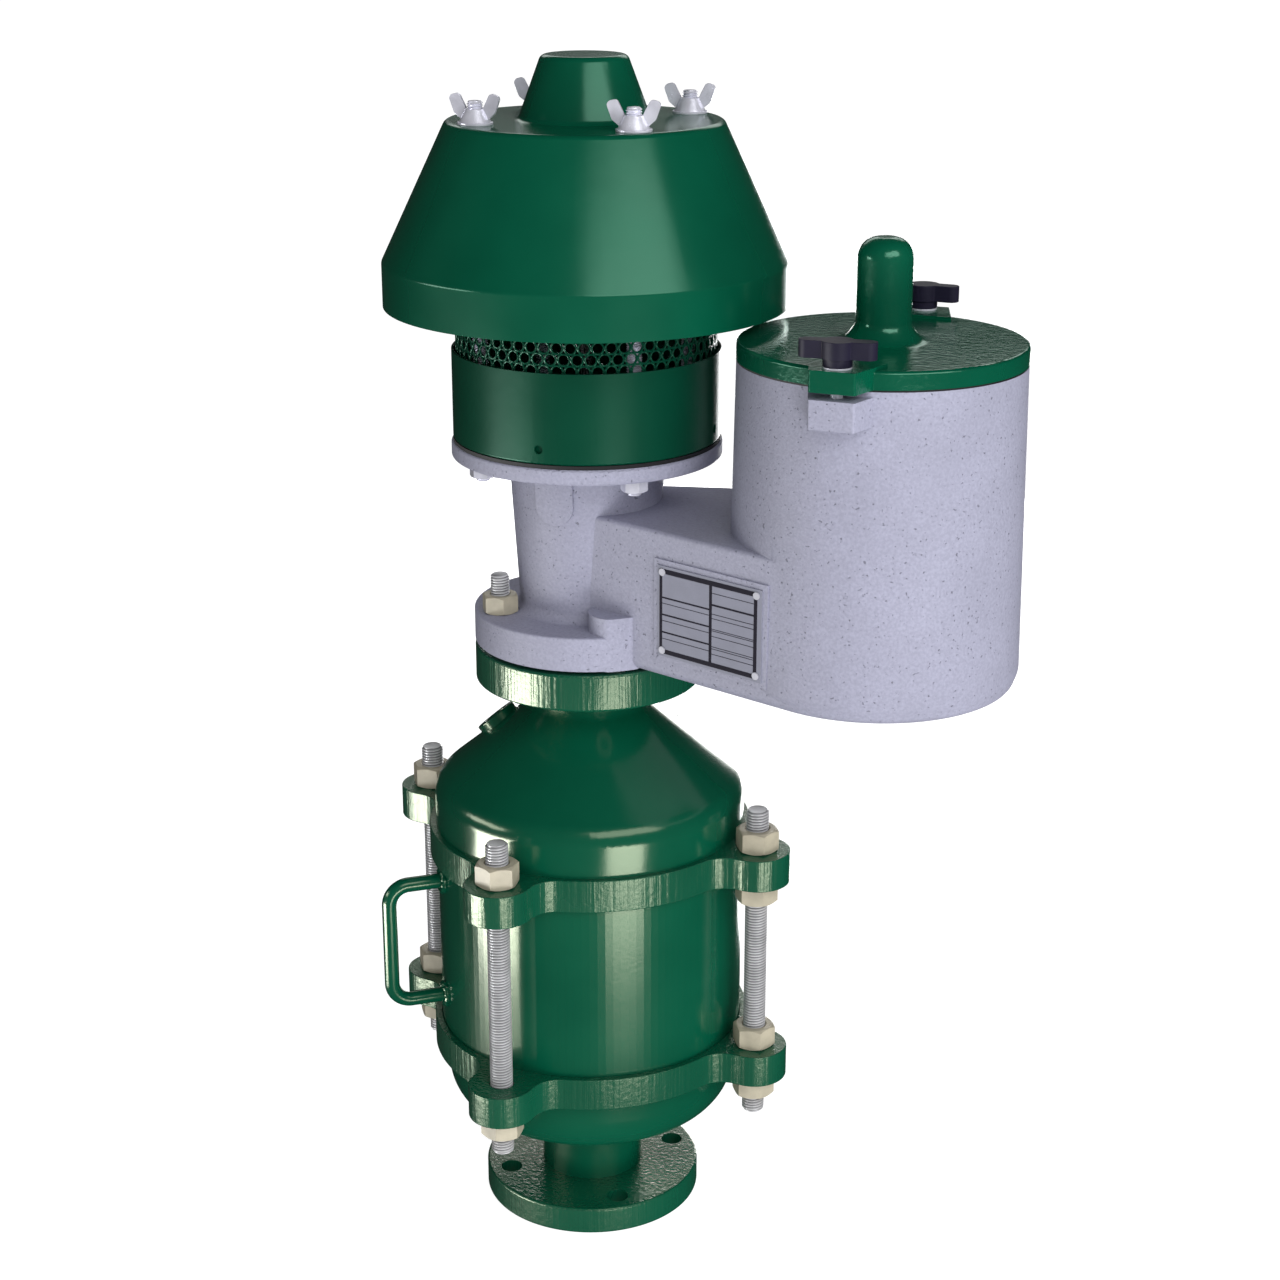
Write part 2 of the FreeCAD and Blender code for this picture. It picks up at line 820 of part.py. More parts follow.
def on_duct_face(shape):
    """Move a shape drawn along +X, proud towards -Y, to the front face of the duct."""
    shape.rotate(FreeCAD.Vector(0, 0, 0), UP, -math.degrees(duct_slope))
    lean = math.sin(duct_slope)
    rise = math.cos(duct_slope)
    shape.translate(FreeCAD.Vector(-duct_small_r * lean, -duct_small_r * rise, body_z))
    return shape


def plate_block(border, back, proud):
    """A rectangular block on the duct's front face, with a border beyond the plate."""
    block = Part.makeBox(
        plate_length + 2.0 * border,
        back + proud,
        plate_height + 2.0 * border,
        FreeCAD.Vector(plate_start - border, -proud, plate_rise - border),
    )
    return block


def plate_spots():
    """Places of the four drive screws along and up the plate."""
    along = (plate_start + plate_screw_inset, plate_start + plate_length - plate_screw_inset)
    up = (plate_rise + plate_screw_inset, plate_rise + plate_height - plate_screw_inset)
    return [(x, z) for x in along for z in up]


def plate_pins(radius, start, length):
    """Round bars into the duct's face at the screw places."""
    pins = []
    for x, z in plate_spots():
        pins.append(Part.makeCylinder(radius, length, FreeCAD.Vector(x, start, z), FreeCAD.Vector(0, 1, 0)))
    return pins


def body_hollow():
    """Everything that is hollow on the tank's side of the two pallets."""
    bore = lathe([
        (0.0, body_z, 0),
        (neck_bore_foot_r, body_z, 0),
        (neck_bore_top_r, drum_gasket_z, 0),
        (0.0, drum_gasket_z, 0),
    ])
    duct = duct_solid(duct_wall, body_z + duct_wall, body_z + duct_height - duct_wall)
    chamber = lathe(
        [
            (0.0, body_z + chamber_wall, 0),
            (chamber_foot_r - chamber_wall, body_z + chamber_wall, chamber_foot_round - chamber_wall),
            (chamber_top_r - chamber_wall, chamber_top_z, 0),
            (0.0, chamber_top_z, 0),
        ],
        chamber_reach,
    )
    stack = rod(stack_r, body_z, stack_top_z, chamber_reach)
    return bore.fuse([duct, chamber]).cut([stack] + tapped_bosses())


def body_holes():
    """Bolt holes, tapped holes and the bore of the inlet stack."""
    holes = [rod(stack_bore_r, body_z, stack_top_z, chamber_reach)]
    seat = body_z + screen_seat_depth
    holes.append(rod(stack_bore_r + screen_seat_over, body_z, seat, chamber_reach))
    spot_face_r = line_nut_flats / math.sqrt(3.0) + stud_gap
    for angle in through_angles():
        spot = polar(bolt_circle_r, angle)
        holes.append(rod(bolt_hole_r, body_z, base_flange_top_z, *spot))
        holes.append(rod(spot_face_r, base_flange_top_z, base_flange_top_z + line_nut_height, *spot))
    for angle in tapped_angles():
        spot = polar(bolt_circle_r, angle)
        holes.append(rod(line_stud_r + running_gap, body_z, body_z + tapped_depth, *spot))
    for x, y in hood_stud_spots():
        holes.append(rod(hood_stud_r + stud_gap, top_flange_z, drum_gasket_z, x, y))
    for x, y in cover_stud_spots():
        ear_top = chamber_top_z - body_ear_gap
        holes.append(rod(cover_stud_r + running_gap, ear_top - cover_stud_sink, ear_top, x, y))
    for x, y in screen_screw_spots():
        holes.append(rod(screen_screw_r + running_gap, seat, seat + screen_screw_length, x, y))
    return holes


def valve_body():
    """The casting: base flange, neck, top flange, duct, chamber and inner inlet stack."""
    ear_top = chamber_top_z - body_ear_gap
    ears = [ear_block(ear_top - body_ear_height, ear_top, side) for side in (-1, 1)]
    pad = on_duct_face(plate_block(plate_pad_border, duct_wall / 2.0, plate_pad_proud))
    lumps = [duct_outside(), chamber_outside(), port_pad(), pad]
    outside = main_column().fuse(lumps + tapped_bosses() + ears)
    pins = plate_pins(plate_screw_r + running_gap, -plate_pad_proud, plate_screw_length)
    tools = body_holes() + [on_duct_face(pin) for pin in pins]
    return outside.cut(body_hollow()).cut(tools).removeSplitter()


def name_plate():
    """Thin metal plate on its cast pad."""
    plate = plate_block(0.0, 0.0, plate_pad_proud + plate_thick)
    plate = plate.cut(plate_block(0.0, 0.0, plate_pad_proud))
    start = -plate_pad_proud - plate_thick
    return on_duct_face(plate.cut(plate_pins(plate_screw_r + running_gap, start, plate_thick)))


def plate_screws():
    """Four drive screws through the plate's corners."""
    face = -plate_pad_proud - plate_thick
    shanks = plate_pins(plate_screw_r, face, plate_screw_length)
    heads = plate_pins(plate_screw_head_r, face - plate_thick, plate_thick)
    return [on_duct_face(shank.fuse(head)) for shank, head in zip(shanks, heads)]


def line_studs():
    """Two studs behind the neck, screwed into the arrestor's flange."""
    low = outlet_flange_z + line_stud_under
    high = base_flange_top_z + line_nut_height + line_stud_over
    return [rod(line_stud_r, low, high, *polar(bolt_circle_r, angle)) for angle in through_angles()]


def line_nuts():
    """Nuts on the studs behind the neck."""
    solids = []
    for angle in through_angles():
        spot = polar(bolt_circle_r, angle)
        bore = line_stud_r + running_gap
        turn = angle + line_nut_angle
        solids.append(hex_nut(line_nut_flats, line_nut_height, bore, base_flange_top_z, *spot, turn))
    return solids


def line_screws():
    """Two cap screws from below into the body's bosses, their heads sunk in the flange."""
    seat = outlet_flange_z + line_screw_recess
    top = body_z + tapped_depth - line_stud_under
    solids = []
    for angle in tapped_angles():
        x, y = polar(bolt_circle_r, angle)
        head = rod(line_screw_head_r, seat - line_screw_head, seat, x, y)
        socket = hexagon(line_screw_head_r, seat - line_screw_head, seat - line_screw_head / 2.0, x, y)
        solids.append(head.fuse(rod(line_stud_r, seat, top, x, y)).cut(socket))
    return solids


def hood_stud_spots():
    """The X and Y of the four long studs that hold the drum and the hood."""
    return [polar(hood_stud_circle_r, angle) for angle in spread(hood_stud_count, hood_stud_angle)]


def drum_gasket():
    """Black gasket under the drum."""
    ring = tube(drum_r, drum_floor_bore_r, drum_gasket_z, drum_z)
    return ring.cut([rod(hood_stud_r + stud_gap, drum_gasket_z, drum_z, x, y) for x, y in hood_stud_spots()])


def drum():
    """Sheet drum with a floor ring and drain holes low in its wall."""
    high = drum_z + drum_height
    shape = lathe([
        (drum_floor_bore_r, drum_z, 0),
        (drum_r, drum_z, edge_round),
        (drum_r, high, 0),
        (drum_r - drum_wall, high, 0),
        (drum_r - drum_wall, drum_floor_z, 0),
        (drum_floor_bore_r, drum_floor_z, 0),
    ])
    tools = [rod(hood_stud_r + stud_gap, drum_z, drum_floor_z, x, y) for x, y in hood_stud_spots()]
    for angle in spread(4, drain_angle):
        start = FreeCAD.Vector(*polar(drum_r - 2.0 * drum_wall, angle), drum_z + drain_rise)
        way = FreeCAD.Vector(*polar(1.0, angle), 0)
        tools.append(Part.makeCylinder(drain_r, 4.0 * drum_wall, start, way))
    return shape.cut(tools)


def seat_ring(outline, hub_low, hub_high, x):
    """A turned seat ring with a spider that guides the stem."""
    ring = lathe(outline, x)
    inner = min(corner[0] for corner in outline)
    spider = rod(guide_hub_r, hub_low, hub_high, x)
    for angle in spread(guide_arms, guide_arm_angle):
        arm = Part.makeBox(inner + spigot_gap, guide_arm_width, guide_arm_height)
        arm.translate(FreeCAD.Vector(x, -guide_arm_width / 2.0, hub_low))
        spider = spider.fuse(turned(arm, angle, x))
    shape = ring.fuse(spider).removeSplitter()
    return shape.cut(rod(stem_r + guide_gap, hub_low, hub_high, x))


def pressure_seat():
    """Seat ring on the top flange, its spigot in the neck's bore."""
    foot = drum_gasket_z - seat_spigot_length
    spigot_r = neck_bore_radius(foot) - spigot_gap
    shelf = drum_gasket_z + seat_flange_thick
    outline = [
        (seat_bore_r, foot, 0),
        (spigot_r, foot, 0),
        (spigot_r, drum_gasket_z, 0),
        (seat_r, drum_gasket_z, 0),
        (seat_r, shelf, 1.0),
        (seat_lip_r, shelf, 0),
        (seat_lip_r, pressure_pallet_z, 0),
        (seat_bore_r, pressure_pallet_z, 0),
    ]
    return seat_ring(outline, foot, pressure_pallet_z - guide_hub_gap, 0.0)


def vacuum_seat():
    """Seat ring on the inlet stack."""
    lip = stack_bore_r + seat_lip_width
    shelf = stack_top_z + vacuum_seat_thick
    outline = [
        (stack_lip_r, stack_top_z, 0),
        (stack_r, stack_top_z, 0),
        (stack_r, shelf, 1.0),
        (lip, shelf, 0),
        (lip, vacuum_pallet_z, 0),
        (stack_lip_r, vacuum_pallet_z, 0),
    ]
    return seat_ring(outline, stack_top_z, vacuum_pallet_z - guide_hub_gap, chamber_reach)


def diaphragm(low, lip_r, x):
    """Soft disc that closes on the seat's lip."""
    return tube(lip_r + pallet_over / 2.0, stem_r, low, low + diaphragm_thick, x)


def pallet(low, lip_r, x):
    """Pallet plate with a hub for the stem and a turned-down rim."""
    plate_z = low + diaphragm_thick
    outer = lip_r + pallet_over
    top = plate_z + pallet_thick
    return lathe(
        [
            (stem_r, plate_z, 0),
            (lip_r + pallet_over / 2.0 + spigot_gap, plate_z, 0),
            (lip_r + pallet_over / 2.0 + spigot_gap, low, 0),
            (outer, low, 0),
            (outer, top, edge_round),
            (pallet_hub_r, top, edge_round),
            (pallet_hub_r, top + pallet_hub_rise, 0),
            (stem_r, top + pallet_hub_rise, 0),
        ],
        x,
    )


def stem(low, pallet_low, high, x):
    """Guide stem through the pallet, with a nut above the hub."""
    nut_z = pallet_low + diaphragm_thick + pallet_thick + pallet_hub_rise
    bar = rod(stem_r, low, high, x)
    return bar.fuse(hexagon(stem_nut_flats, nut_z, nut_z + stem_nut_height, x)).removeSplitter()


def weights(pallet_low, radius, count, x):
    """Loose weight rings stacked round the pallet's hub."""
    low = pallet_low + diaphragm_thick + pallet_thick
    bore = pallet_hub_r + stud_gap + edge_round
    levels = [low + weight_thick * step for step in range(count)]
    return [tube(radius, bore, level, level + weight_thick, x) for level in levels]


def pressure_stem_top():
    """The stem reaches into the hood's guide and stays under its crown at full lift."""
    return hood_top_z - hood_wall - pressure_lift - 2.0 * stem_r


def screen_levels():
    """Foot and top of the discharge screen."""
    return drum_floor_z, shoulder_z - screen_top_gap


def discharge_screen():
    """Screen cylinder inside the drum, its openings drawn as a few rows of windows."""
    low, high = screen_levels()
    outer = drum_r - drum_wall - screen_gap
    shell = tube(outer, outer - screen_thick, low, high)
    windows = []
    first = drum_z + drum_height
    for row in range(screen_rows):
        middle = first + screen_pitch * (row + 0.3)
        offset = 180.0 / screen_columns * (row % 2)
        for angle in spread(screen_columns, offset):
            window = Part.makeBox(4.0 * screen_thick, screen_window, screen_window)
            window.translate(FreeCAD.Vector(outer - 3.0 * screen_thick, -screen_window / 2.0, middle))
            windows.append(turned(window, angle))
    return shell.cut(windows)


def hood_studs():
    """Four long studs from under the top flange to above the hood."""
    low = top_flange_z - hood_nut_height - hood_stud_r / 2.0
    high = shoulder_z + washer_thick + wing_hub_height + hood_stud_over
    return [rod(hood_stud_r, low, high, x, y) for x, y in hood_stud_spots()]


def hood_nuts():
    """Nuts under the top flange, on the drum's floor and under the hood's shoulder."""
    levels = (top_flange_z - hood_nut_height, drum_floor_z, shoulder_z - hood_wall - hood_nut_height)
    bore = hood_stud_r + running_gap
    places = [(low, x, y) for low in levels for x, y in hood_stud_spots()]
    return [hex_nut(hood_nut_flats, hood_nut_height, bore, *place, hood_nut_angle) for place in places]


def hood():
    """Weather hood: straight skirt, cone, flat shoulder and hollow crown."""
    outline = [
        (hood_r, hood_z, 0),
        (hood_r, hood_z + hood_skirt, hood_crease_round),
        (hood_shoulder_r, shoulder_z, hood_shoulder_round),
        (hood_crown_foot_r, shoulder_z, hood_crown_round),
        (hood_crown_top_r, hood_top_z, hood_crown_round),
        (0.0, hood_top_z, 0),
    ]
    shell = lathe(sheet_outline(outline, hood_wall))
    low = shoulder_z - hood_wall
    return shell.cut([rod(hood_stud_r + stud_gap, low, shoulder_z, x, y) for x, y in hood_stud_spots()])


def hood_guide():
    """Tube inside the crown that guides the top of the pressure stem."""
    high = hood_top_z - hood_wall
    bore = stem_r + guide_gap
    return tube(bore + hood_guide_wall, bore, high - hood_guide_length, high)


def hood_washers():
    """Flat washers under the wing nuts."""
    bore = hood_stud_r + stud_gap
    top = shoulder_z + washer_thick
    return [tube(washer_r, bore, shoulder_z, top, x, y) for x, y in hood_stud_spots()]


def wing_blades():
    """Both wings as one plate through the hub, rising outward."""
    half = wing_span / 2.0
    right = [
        (wing_hub_foot_r - wing_thick / 2.0, wing_thick / 2.0, 0),
        (half * 0.78, wing_rise * 0.3, wing_root_round),
        (half, wing_rise * 0.9, wing_tip_round),
        (half * 0.6, wing_rise, wing_tip_round),
        (wing_hub_top_r * 0.8, wing_hub_height * 0.8, 0),
    ]
    left = [(-x, z, rounding) for x, z, rounding in reversed(right)]
    wire = rounded_wire(right + left, lambda p: FreeCAD.Vector(p.x, -wing_thick / 2.0, p.y))
    return Part.Face(wire).extrude(FreeCAD.Vector(0, wing_thick, 0))


def wing_nut(spot, degrees):
    """Wing nut: a tapered hub with two rising wings."""
    hub = turned(Part.makeCone(wing_hub_foot_r, wing_hub_top_r, wing_hub_height), 90.0)
    shape = hub.fuse(wing_blades()).removeSplitter()
    shape = shape.cut(rod(hood_stud_r + running_gap, 0.0, wing_rise))
    shape = turned(shape, degrees)
    shape.translate(FreeCAD.Vector(*spot, shoulder_z + washer_thick))
    return shape


def inlet_screen():
    """Disc of crossed bars under the mouth of the inlet stack."""
    top = body_z + screen_seat_depth
    low = top - inlet_screen_thick
    disc = rod(stack_bore_r + screen_seat_over - spigot_gap, low, top, chamber_reach)
    gaps = []
    opening = screen_bar_pitch - screen_bar_width
    steps = int((stack_bore_r - opening) / screen_bar_pitch)
    for column in range(-steps, steps + 1):
        for row in range(-steps, steps + 1):
            x = column * screen_bar_pitch
            y = row * screen_bar_pitch
            if math.hypot(abs(x) + opening / 2.0, abs(y) + opening / 2.0) < stack_bore_r:
                corner = FreeCAD.Vector(chamber_reach + x - opening / 2.0, y - opening / 2.0, low)
                gaps.append(Part.makeBox(opening, opening, inlet_screen_thick, corner))
    holes = [rod(screen_screw_r + stud_gap, low, top, x, y) for x, y in screen_screw_spots()]
    return disc.cut(gaps + holes)


def screen_screw_spots():
    """The X and Y of the screws that hold the inlet screen."""
    radius = stack_bore_r + screen_seat_over / 2.0
    spots = [polar(radius, angle) for angle in spread(screen_screw_count, 0.0)]
    return [(chamber_reach + x, y) for x, y in spots]


def screen_ring():
    """Clamp ring that holds the inlet screen from below."""
    top = body_z + screen_seat_depth - inlet_screen_thick
    low = top - screen_ring_thick
    outer = stack_bore_r + screen_seat_over - spigot_gap
    ring = tube(outer, outer - screen_ring_width, low, top, chamber_reach)
    return ring.cut([rod(screen_screw_r + stud_gap, low, top, x, y) for x, y in screen_screw_spots()])


def screen_screws():
    """Pan-head screws up through the clamp ring and the screen."""
    face = body_z + screen_seat_depth - inlet_screen_thick - screen_ring_thick
    high = body_z + screen_seat_depth + screen_screw_length
    solids = []
    for x, y in screen_screw_spots():
        head = rod(screen_screw_head_r, face - screen_screw_head, face, x, y)
        solids.append(head.fuse(rod(screen_screw_r, face, high, x, y)))
    return solids


def cover_gasket():
    """Gasket on the chamber's rim."""
    return tube(chamber_top_r, chamber_top_r - cover_gasket_width, chamber_top_z, cover_z, chamber_reach)


def stem_bore_top():
    """Top of the blind bore in the cover's guide dome."""
    return cover_top_z + guide_dome_rise - guide_dome_crown


def vacuum_stem_top():
    """Top of the vacuum stem, which at full lift stays clear of the bore's end."""
    return stem_bore_top() - vacuum_lift - vacuum_stem_end_gap


def vacuum_cover():
    """Cover with two ears and a tall dome that guides the vacuum stem."""
    dome_top = cover_top_z + guide_dome_rise
    plate = lathe(
        [
            (0.0, cover_z, 0),
            (cover_r, cover_z, 0),
            (cover_r, cover_top_z, cover_round),
            (guide_dome_foot_r, cover_top_z, guide_dome_blend),
            (guide_dome_r, cover_top_z + guide_dome_blend, guide_dome_blend),
            (guide_dome_r, dome_top, guide_dome_round),
            (0.0, dome_top, 0),
        ],
        chamber_reach,
    )
    shape = plate.fuse([ear_block(cover_z, cover_top_z + cover_ear_rise, side) for side in (-1, 1)])
    tools = [rod(stem_r + guide_gap, cover_z, stem_bore_top(), chamber_reach)]
    for x, y in cover_stud_spots():
        tools.append(rod(cover_stud_r + stud_gap, cover_z, cover_top_z + cover_ear_rise, x, y))
    return shape.removeSplitter().cut(tools)


def knob_foot_z():
    """Underside of the cover knobs."""
    return cover_top_z + cover_ear_rise + knob_washer_thick


def cover_studs():
    """Two studs fixed in the body's ears."""
    low = chamber_top_z - body_ear_gap - cover_stud_sink
    high = knob_foot_z() + knob_thread_depth - 1.0
    return [rod(cover_stud_r, low, high, x, y) for x, y in cover_stud_spots()]


def knob_washers():
    """Washers under the cover knobs."""
    low = cover_top_z + cover_ear_rise
    bore = cover_stud_r + stud_gap
    return [tube(knob_washer_r, bore, low, knob_foot_z(), x, y) for x, y in cover_stud_spots()]


def knob_bar():
    """Plan of the knob's bar: a round middle that tapers to two round tips."""
    half = knob_span / 2.0 - knob_tip_r
    low = knob_hub_height
    bar = prism(
        [(-half, -knob_tip_r, 0), (half, -knob_tip_r, 0), (half, knob_tip_r, 0), (-half, knob_tip_r, 0)],
        low,
        knob_height,
    )
    tips = [rod(knob_tip_r, low, knob_height, side * half) for side in (-1, 1)]
    middle = rod(knob_middle_r, low, knob_height)
    return bar.fuse(tips + [middle]).removeSplitter()


def t_knob(spot, degrees):
    """Two-armed moulded knob with a blind threaded hole."""
    shape = knob_bar().fuse(rod(knob_hub_r, 0.0, knob_hub_height)).removeSplitter()
    shape = shape.cut(rod(cover_stud_r + running_gap, 0.0, knob_thread_depth))
    shape = turned(shape, degrees)
    shape.translate(FreeCAD.Vector(*spot, knob_foot_z()))
    return shape


def save_arrestor():
    """Write the pieces of the flame arrestor."""
    lower_grid_z, _, upper_grid_z, _ = grid_levels()
    save("inlet_flange", inlet_flange())
    save("lower_dome", lower_dome())
    save("lower_clamp_ring", clamp_ring(lower_ring_z, housing_z - rabbet_depth))
    save("lower_gasket", tube(housing_r, housing_bore_r, housing_z - rabbet_depth, housing_ends()[0]))
    save("element_housing", element_housing())
    save("lower_grid", support_grid(lower_grid_z))
    save("flame_element", flame_element())
    save("bank_core", bank_core())
    save("upper_grid", support_grid(upper_grid_z))
    save("bank_keeper", bank_keeper())
    save("upper_gasket", tube(housing_r, housing_bore_r, housing_ends()[1], upper_ring_z + rabbet_depth))
    save("upper_clamp_ring", clamp_ring(upper_ring_z, upper_ring_z))
    save("upper_dome", upper_dome())
    save("outlet_flange", outlet_flange())
    save("port_coupling", port_coupling())
    save("port_plug", port_plug())
    save("tie_studs", *tie_studs())
    save("tie_nuts", *tie_nuts())
    save("jack_nuts", *jack_nuts())
    save("carrying_handle", carrying_handle())


def save_body():
    """Write the valve body and what fastens and labels it."""
    save("line_gasket", line_gasket())
    save("valve_body", valve_body())
    save("line_studs", *line_studs())
    save("line_nuts", *line_nuts())
    save("line_screws", *line_screws())
    save("name_plate", name_plate())
    save("plate_screws", *plate_screws())


def save_pressure_side():
    """Write the pressure seat, pallet, drum, screen, hood and their fasteners."""
    save("drum_gasket", drum_gasket())
    save("drum", drum())
    save("pressure_seat", pressure_seat())
    save("pressure_diaphragm", diaphragm(pressure_pallet_z, seat_lip_r, 0.0))
    save("pressure_pallet", pallet(pressure_pallet_z, seat_lip_r, 0.0))
    stem_foot = drum_gasket_z - seat_spigot_length - pressure_lift
    save("pressure_stem", stem(stem_foot, pressure_pallet_z, pressure_stem_top(), 0.0))
    save("pressure_weights", *weights(pressure_pallet_z, weight_r, weight_count, 0.0))
    save("discharge_screen", discharge_screen())
    save("hood_studs", *hood_studs())
    save("hood_nuts", *hood_nuts())
    save("hood", hood())
    save("hood_guide", hood_guide())
    save("hood_washers", *hood_washers())
    for at, (spot, degrees) in enumerate(zip(hood_stud_spots(), wing_turns)):
        save("wing_nut_" + str(at + 1), wing_nut(spot, degrees))


def save_vacuum_side():
    """Write the vacuum seat, pallet, inlet screen, cover and their fasteners."""
    lip = stack_bore_r + seat_lip_width
    save("vacuum_seat", vacuum_seat())
    save("vacuum_diaphragm", diaphragm(vacuum_pallet_z, lip, chamber_reach))
    save("vacuum_pallet", pallet(vacuum_pallet_z, lip, chamber_reach))
    save("vacuum_stem", stem(stack_top_z - vacuum_lift, vacuum_pallet_z, vacuum_stem_top(), chamber_reach))
    save("vacuum_weights", *weights(vacuum_pallet_z, vacuum_weight_r, vacuum_weight_count, chamber_reach))
    save("inlet_screen", inlet_screen())
    save("screen_ring", screen_ring())
    save("screen_screws", *screen_screws())
    save("cover_gasket", cover_gasket())
    save("vacuum_cover", vacuum_cover())
    save("cover_studs", *cover_studs())
    save("knob_washers", *knob_washers())
    for at, (spot, degrees) in enumerate(zip(cover_stud_spots(), knob_turns)):
        save("t_knob_" + str(at + 1), t_knob(spot, degrees))


save_arrestor()
save_body()
save_pressure_side()
save_vacuum_side()
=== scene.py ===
"""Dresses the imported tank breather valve, a relief valve both ways on a flame arrestor."""
import json
import math

import bmesh
import bpy
from bpy.props import FloatProperty, FloatVectorProperty, IntProperty, PointerProperty
from mathutils import Matrix, Vector, noise

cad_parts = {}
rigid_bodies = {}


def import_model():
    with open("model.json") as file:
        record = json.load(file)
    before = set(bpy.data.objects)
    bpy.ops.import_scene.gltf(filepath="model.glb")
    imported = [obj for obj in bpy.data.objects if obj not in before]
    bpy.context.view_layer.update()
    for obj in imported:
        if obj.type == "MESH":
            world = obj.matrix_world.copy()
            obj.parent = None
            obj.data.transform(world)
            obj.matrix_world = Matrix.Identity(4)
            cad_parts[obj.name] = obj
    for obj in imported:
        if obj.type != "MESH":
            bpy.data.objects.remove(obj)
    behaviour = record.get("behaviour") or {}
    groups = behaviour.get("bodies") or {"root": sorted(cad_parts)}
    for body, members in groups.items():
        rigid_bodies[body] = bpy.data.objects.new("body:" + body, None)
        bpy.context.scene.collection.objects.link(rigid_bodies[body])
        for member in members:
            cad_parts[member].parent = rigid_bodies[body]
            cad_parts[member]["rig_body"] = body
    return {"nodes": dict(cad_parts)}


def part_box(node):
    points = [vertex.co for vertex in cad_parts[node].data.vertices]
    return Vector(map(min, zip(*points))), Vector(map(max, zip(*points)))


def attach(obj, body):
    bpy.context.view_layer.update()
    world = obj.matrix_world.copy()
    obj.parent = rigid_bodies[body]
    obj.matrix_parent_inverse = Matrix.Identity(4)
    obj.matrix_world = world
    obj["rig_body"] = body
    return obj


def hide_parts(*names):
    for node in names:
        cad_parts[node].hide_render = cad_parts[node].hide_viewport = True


bl_info = {
    "name": "Tank breather valve",
    "version": (1, 0, 0),
    "blender": (4, 5, 0),
    "location": "3D View > Sidebar > Breather",
    "description": "Builds the looks of a tank breather valve round its packed frame",
    "category": "Object",
}

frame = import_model()
MM = 0.001
FULL_TURN = 2.0 * math.pi
MERGE_DIST = 2e-6


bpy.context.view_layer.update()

# Turns and lengths that the frame gives
ARRESTOR_TURN = math.radians(-3.0)
HANDLE_TURN = math.radians(-135.0) + ARRESTOR_TURN
LINE_STUD_TURN = math.radians(45.0) + ARRESTOR_TURN
HOOD_STUD_TURN = math.radians(49.0)
TIE_NUT_TURN = math.radians(12.0)
LINE_NUT_TURN = math.radians(25.0)
HOOD_NUT_TURN = math.radians(15.0)
TIE_CIRCLE = 159.0 * MM
BOLT_CIRCLE = 76.2 * MM
HOOD_CIRCLE = 92.0 * MM
CHAMBER_X = 251.0 * MM
HOUSING_R = 132.0 * MM
HANDLE_ROD_R = 6.35 * MM
TIE_STUD_R = 9.525 * MM
LINE_STUD_R = 7.94 * MM
HOOD_STUD_R = 6.35 * MM
SHEET_WALL = 1.5 * MM
SCREEN_SINK = 8.0 * MM
DRUM_FLOOR = 3.0 * MM
CHAMBER_R = 112.0 * MM
CHAMBER_DRAFT = 4.5 * MM
CHAMBER_HEIGHT = 258.2 * MM
DUCT_HEIGHT = 121.7 * MM
DUCT_SINK = 0.6 * MM
DUCT_SMALL_R = 42.0 * MM
DUCT_LARGE_R = CHAMBER_R + CHAMBER_DRAFT * (1.0 - DUCT_HEIGHT / CHAMBER_HEIGHT) - DUCT_SINK

# Nuts as width across flats, height and radius of the bore
TIE_NUT = (31.75 * MM, 19.0 * MM, 9.6 * MM)
LINE_NUT = (27.0 * MM, 15.5 * MM, 8.0 * MM)
HOOD_NUT = (19.05 * MM, 11.0 * MM, 6.4 * MM)

# The rating plate, on a cast pad on the duct's front face
PLATE_LENGTH = 104.0 * MM
PLATE_HEIGHT = 75.0 * MM
PLATE_THICK = 1.2 * MM
PLATE_PAD = 1.6 * MM
PLATE_ALONG = 114.0 * MM
PLATE_RISE = 20.5 * MM
INK_DEPTH = 0.16 * MM

# The weld beads at the handle's feet
BEAD_OUT = 2.2 * MM
BEAD_R = 2.9 * MM
BEAD_PROUD = 0.6 * MM
BEAD_SHIFT = 5.0

# Roundings of edges that the panel leaves out
KNOB_EDGE = 1.4 * MM
WING_EDGE = 0.9 * MM
SHEET_EDGE = 0.6 * MM
SCREW_EDGE = 0.5 * MM
SMALL_SCREW_EDGE = 0.4 * MM
TRIM_EDGE = 0.3 * MM
THIN_WASHER_EDGE = 0.2 * MM

# Colours and tints that the panel leaves out
WARM_SHEEN = (0.92, 1.0, 0.72, 1.0)
DEEP_SHEEN = (0.48, 1.0, 0.74, 1.0)
GASKET_BLACK = (0.006, 0.006, 0.008)
INK_BLACK = (0.010, 0.008, 0.018)
STAINLESS = (0.55, 0.55, 0.56)
RIBBON_METAL = (0.42, 0.42, 0.43)
DISC_WHITE = (0.62, 0.60, 0.55)


class Value:
    """A number in a finish. Sums and products of values add their own maths nodes."""

    def __init__(self, finish, socket):
        self.finish = finish
        self.socket = socket

    def maths(self, operation, first, second):
        """One maths node on two terms."""
        return self.finish.node("ShaderNodeMath", {"operation": operation}, {0: first, 1: second})

    def __add__(self, other):
        return self.maths("ADD", self, other)

    def __sub__(self, other):
        return self.maths("SUBTRACT", self, other)

    def __mul__(self, other):
        return self.maths("MULTIPLY", self, other)

    def __radd__(self, other):
        return self.maths("ADD", other, self)

    def __rsub__(self, other):
        return self.maths("SUBTRACT", other, self)

    def __rmul__(self, other):
        return self.maths("MULTIPLY", other, self)


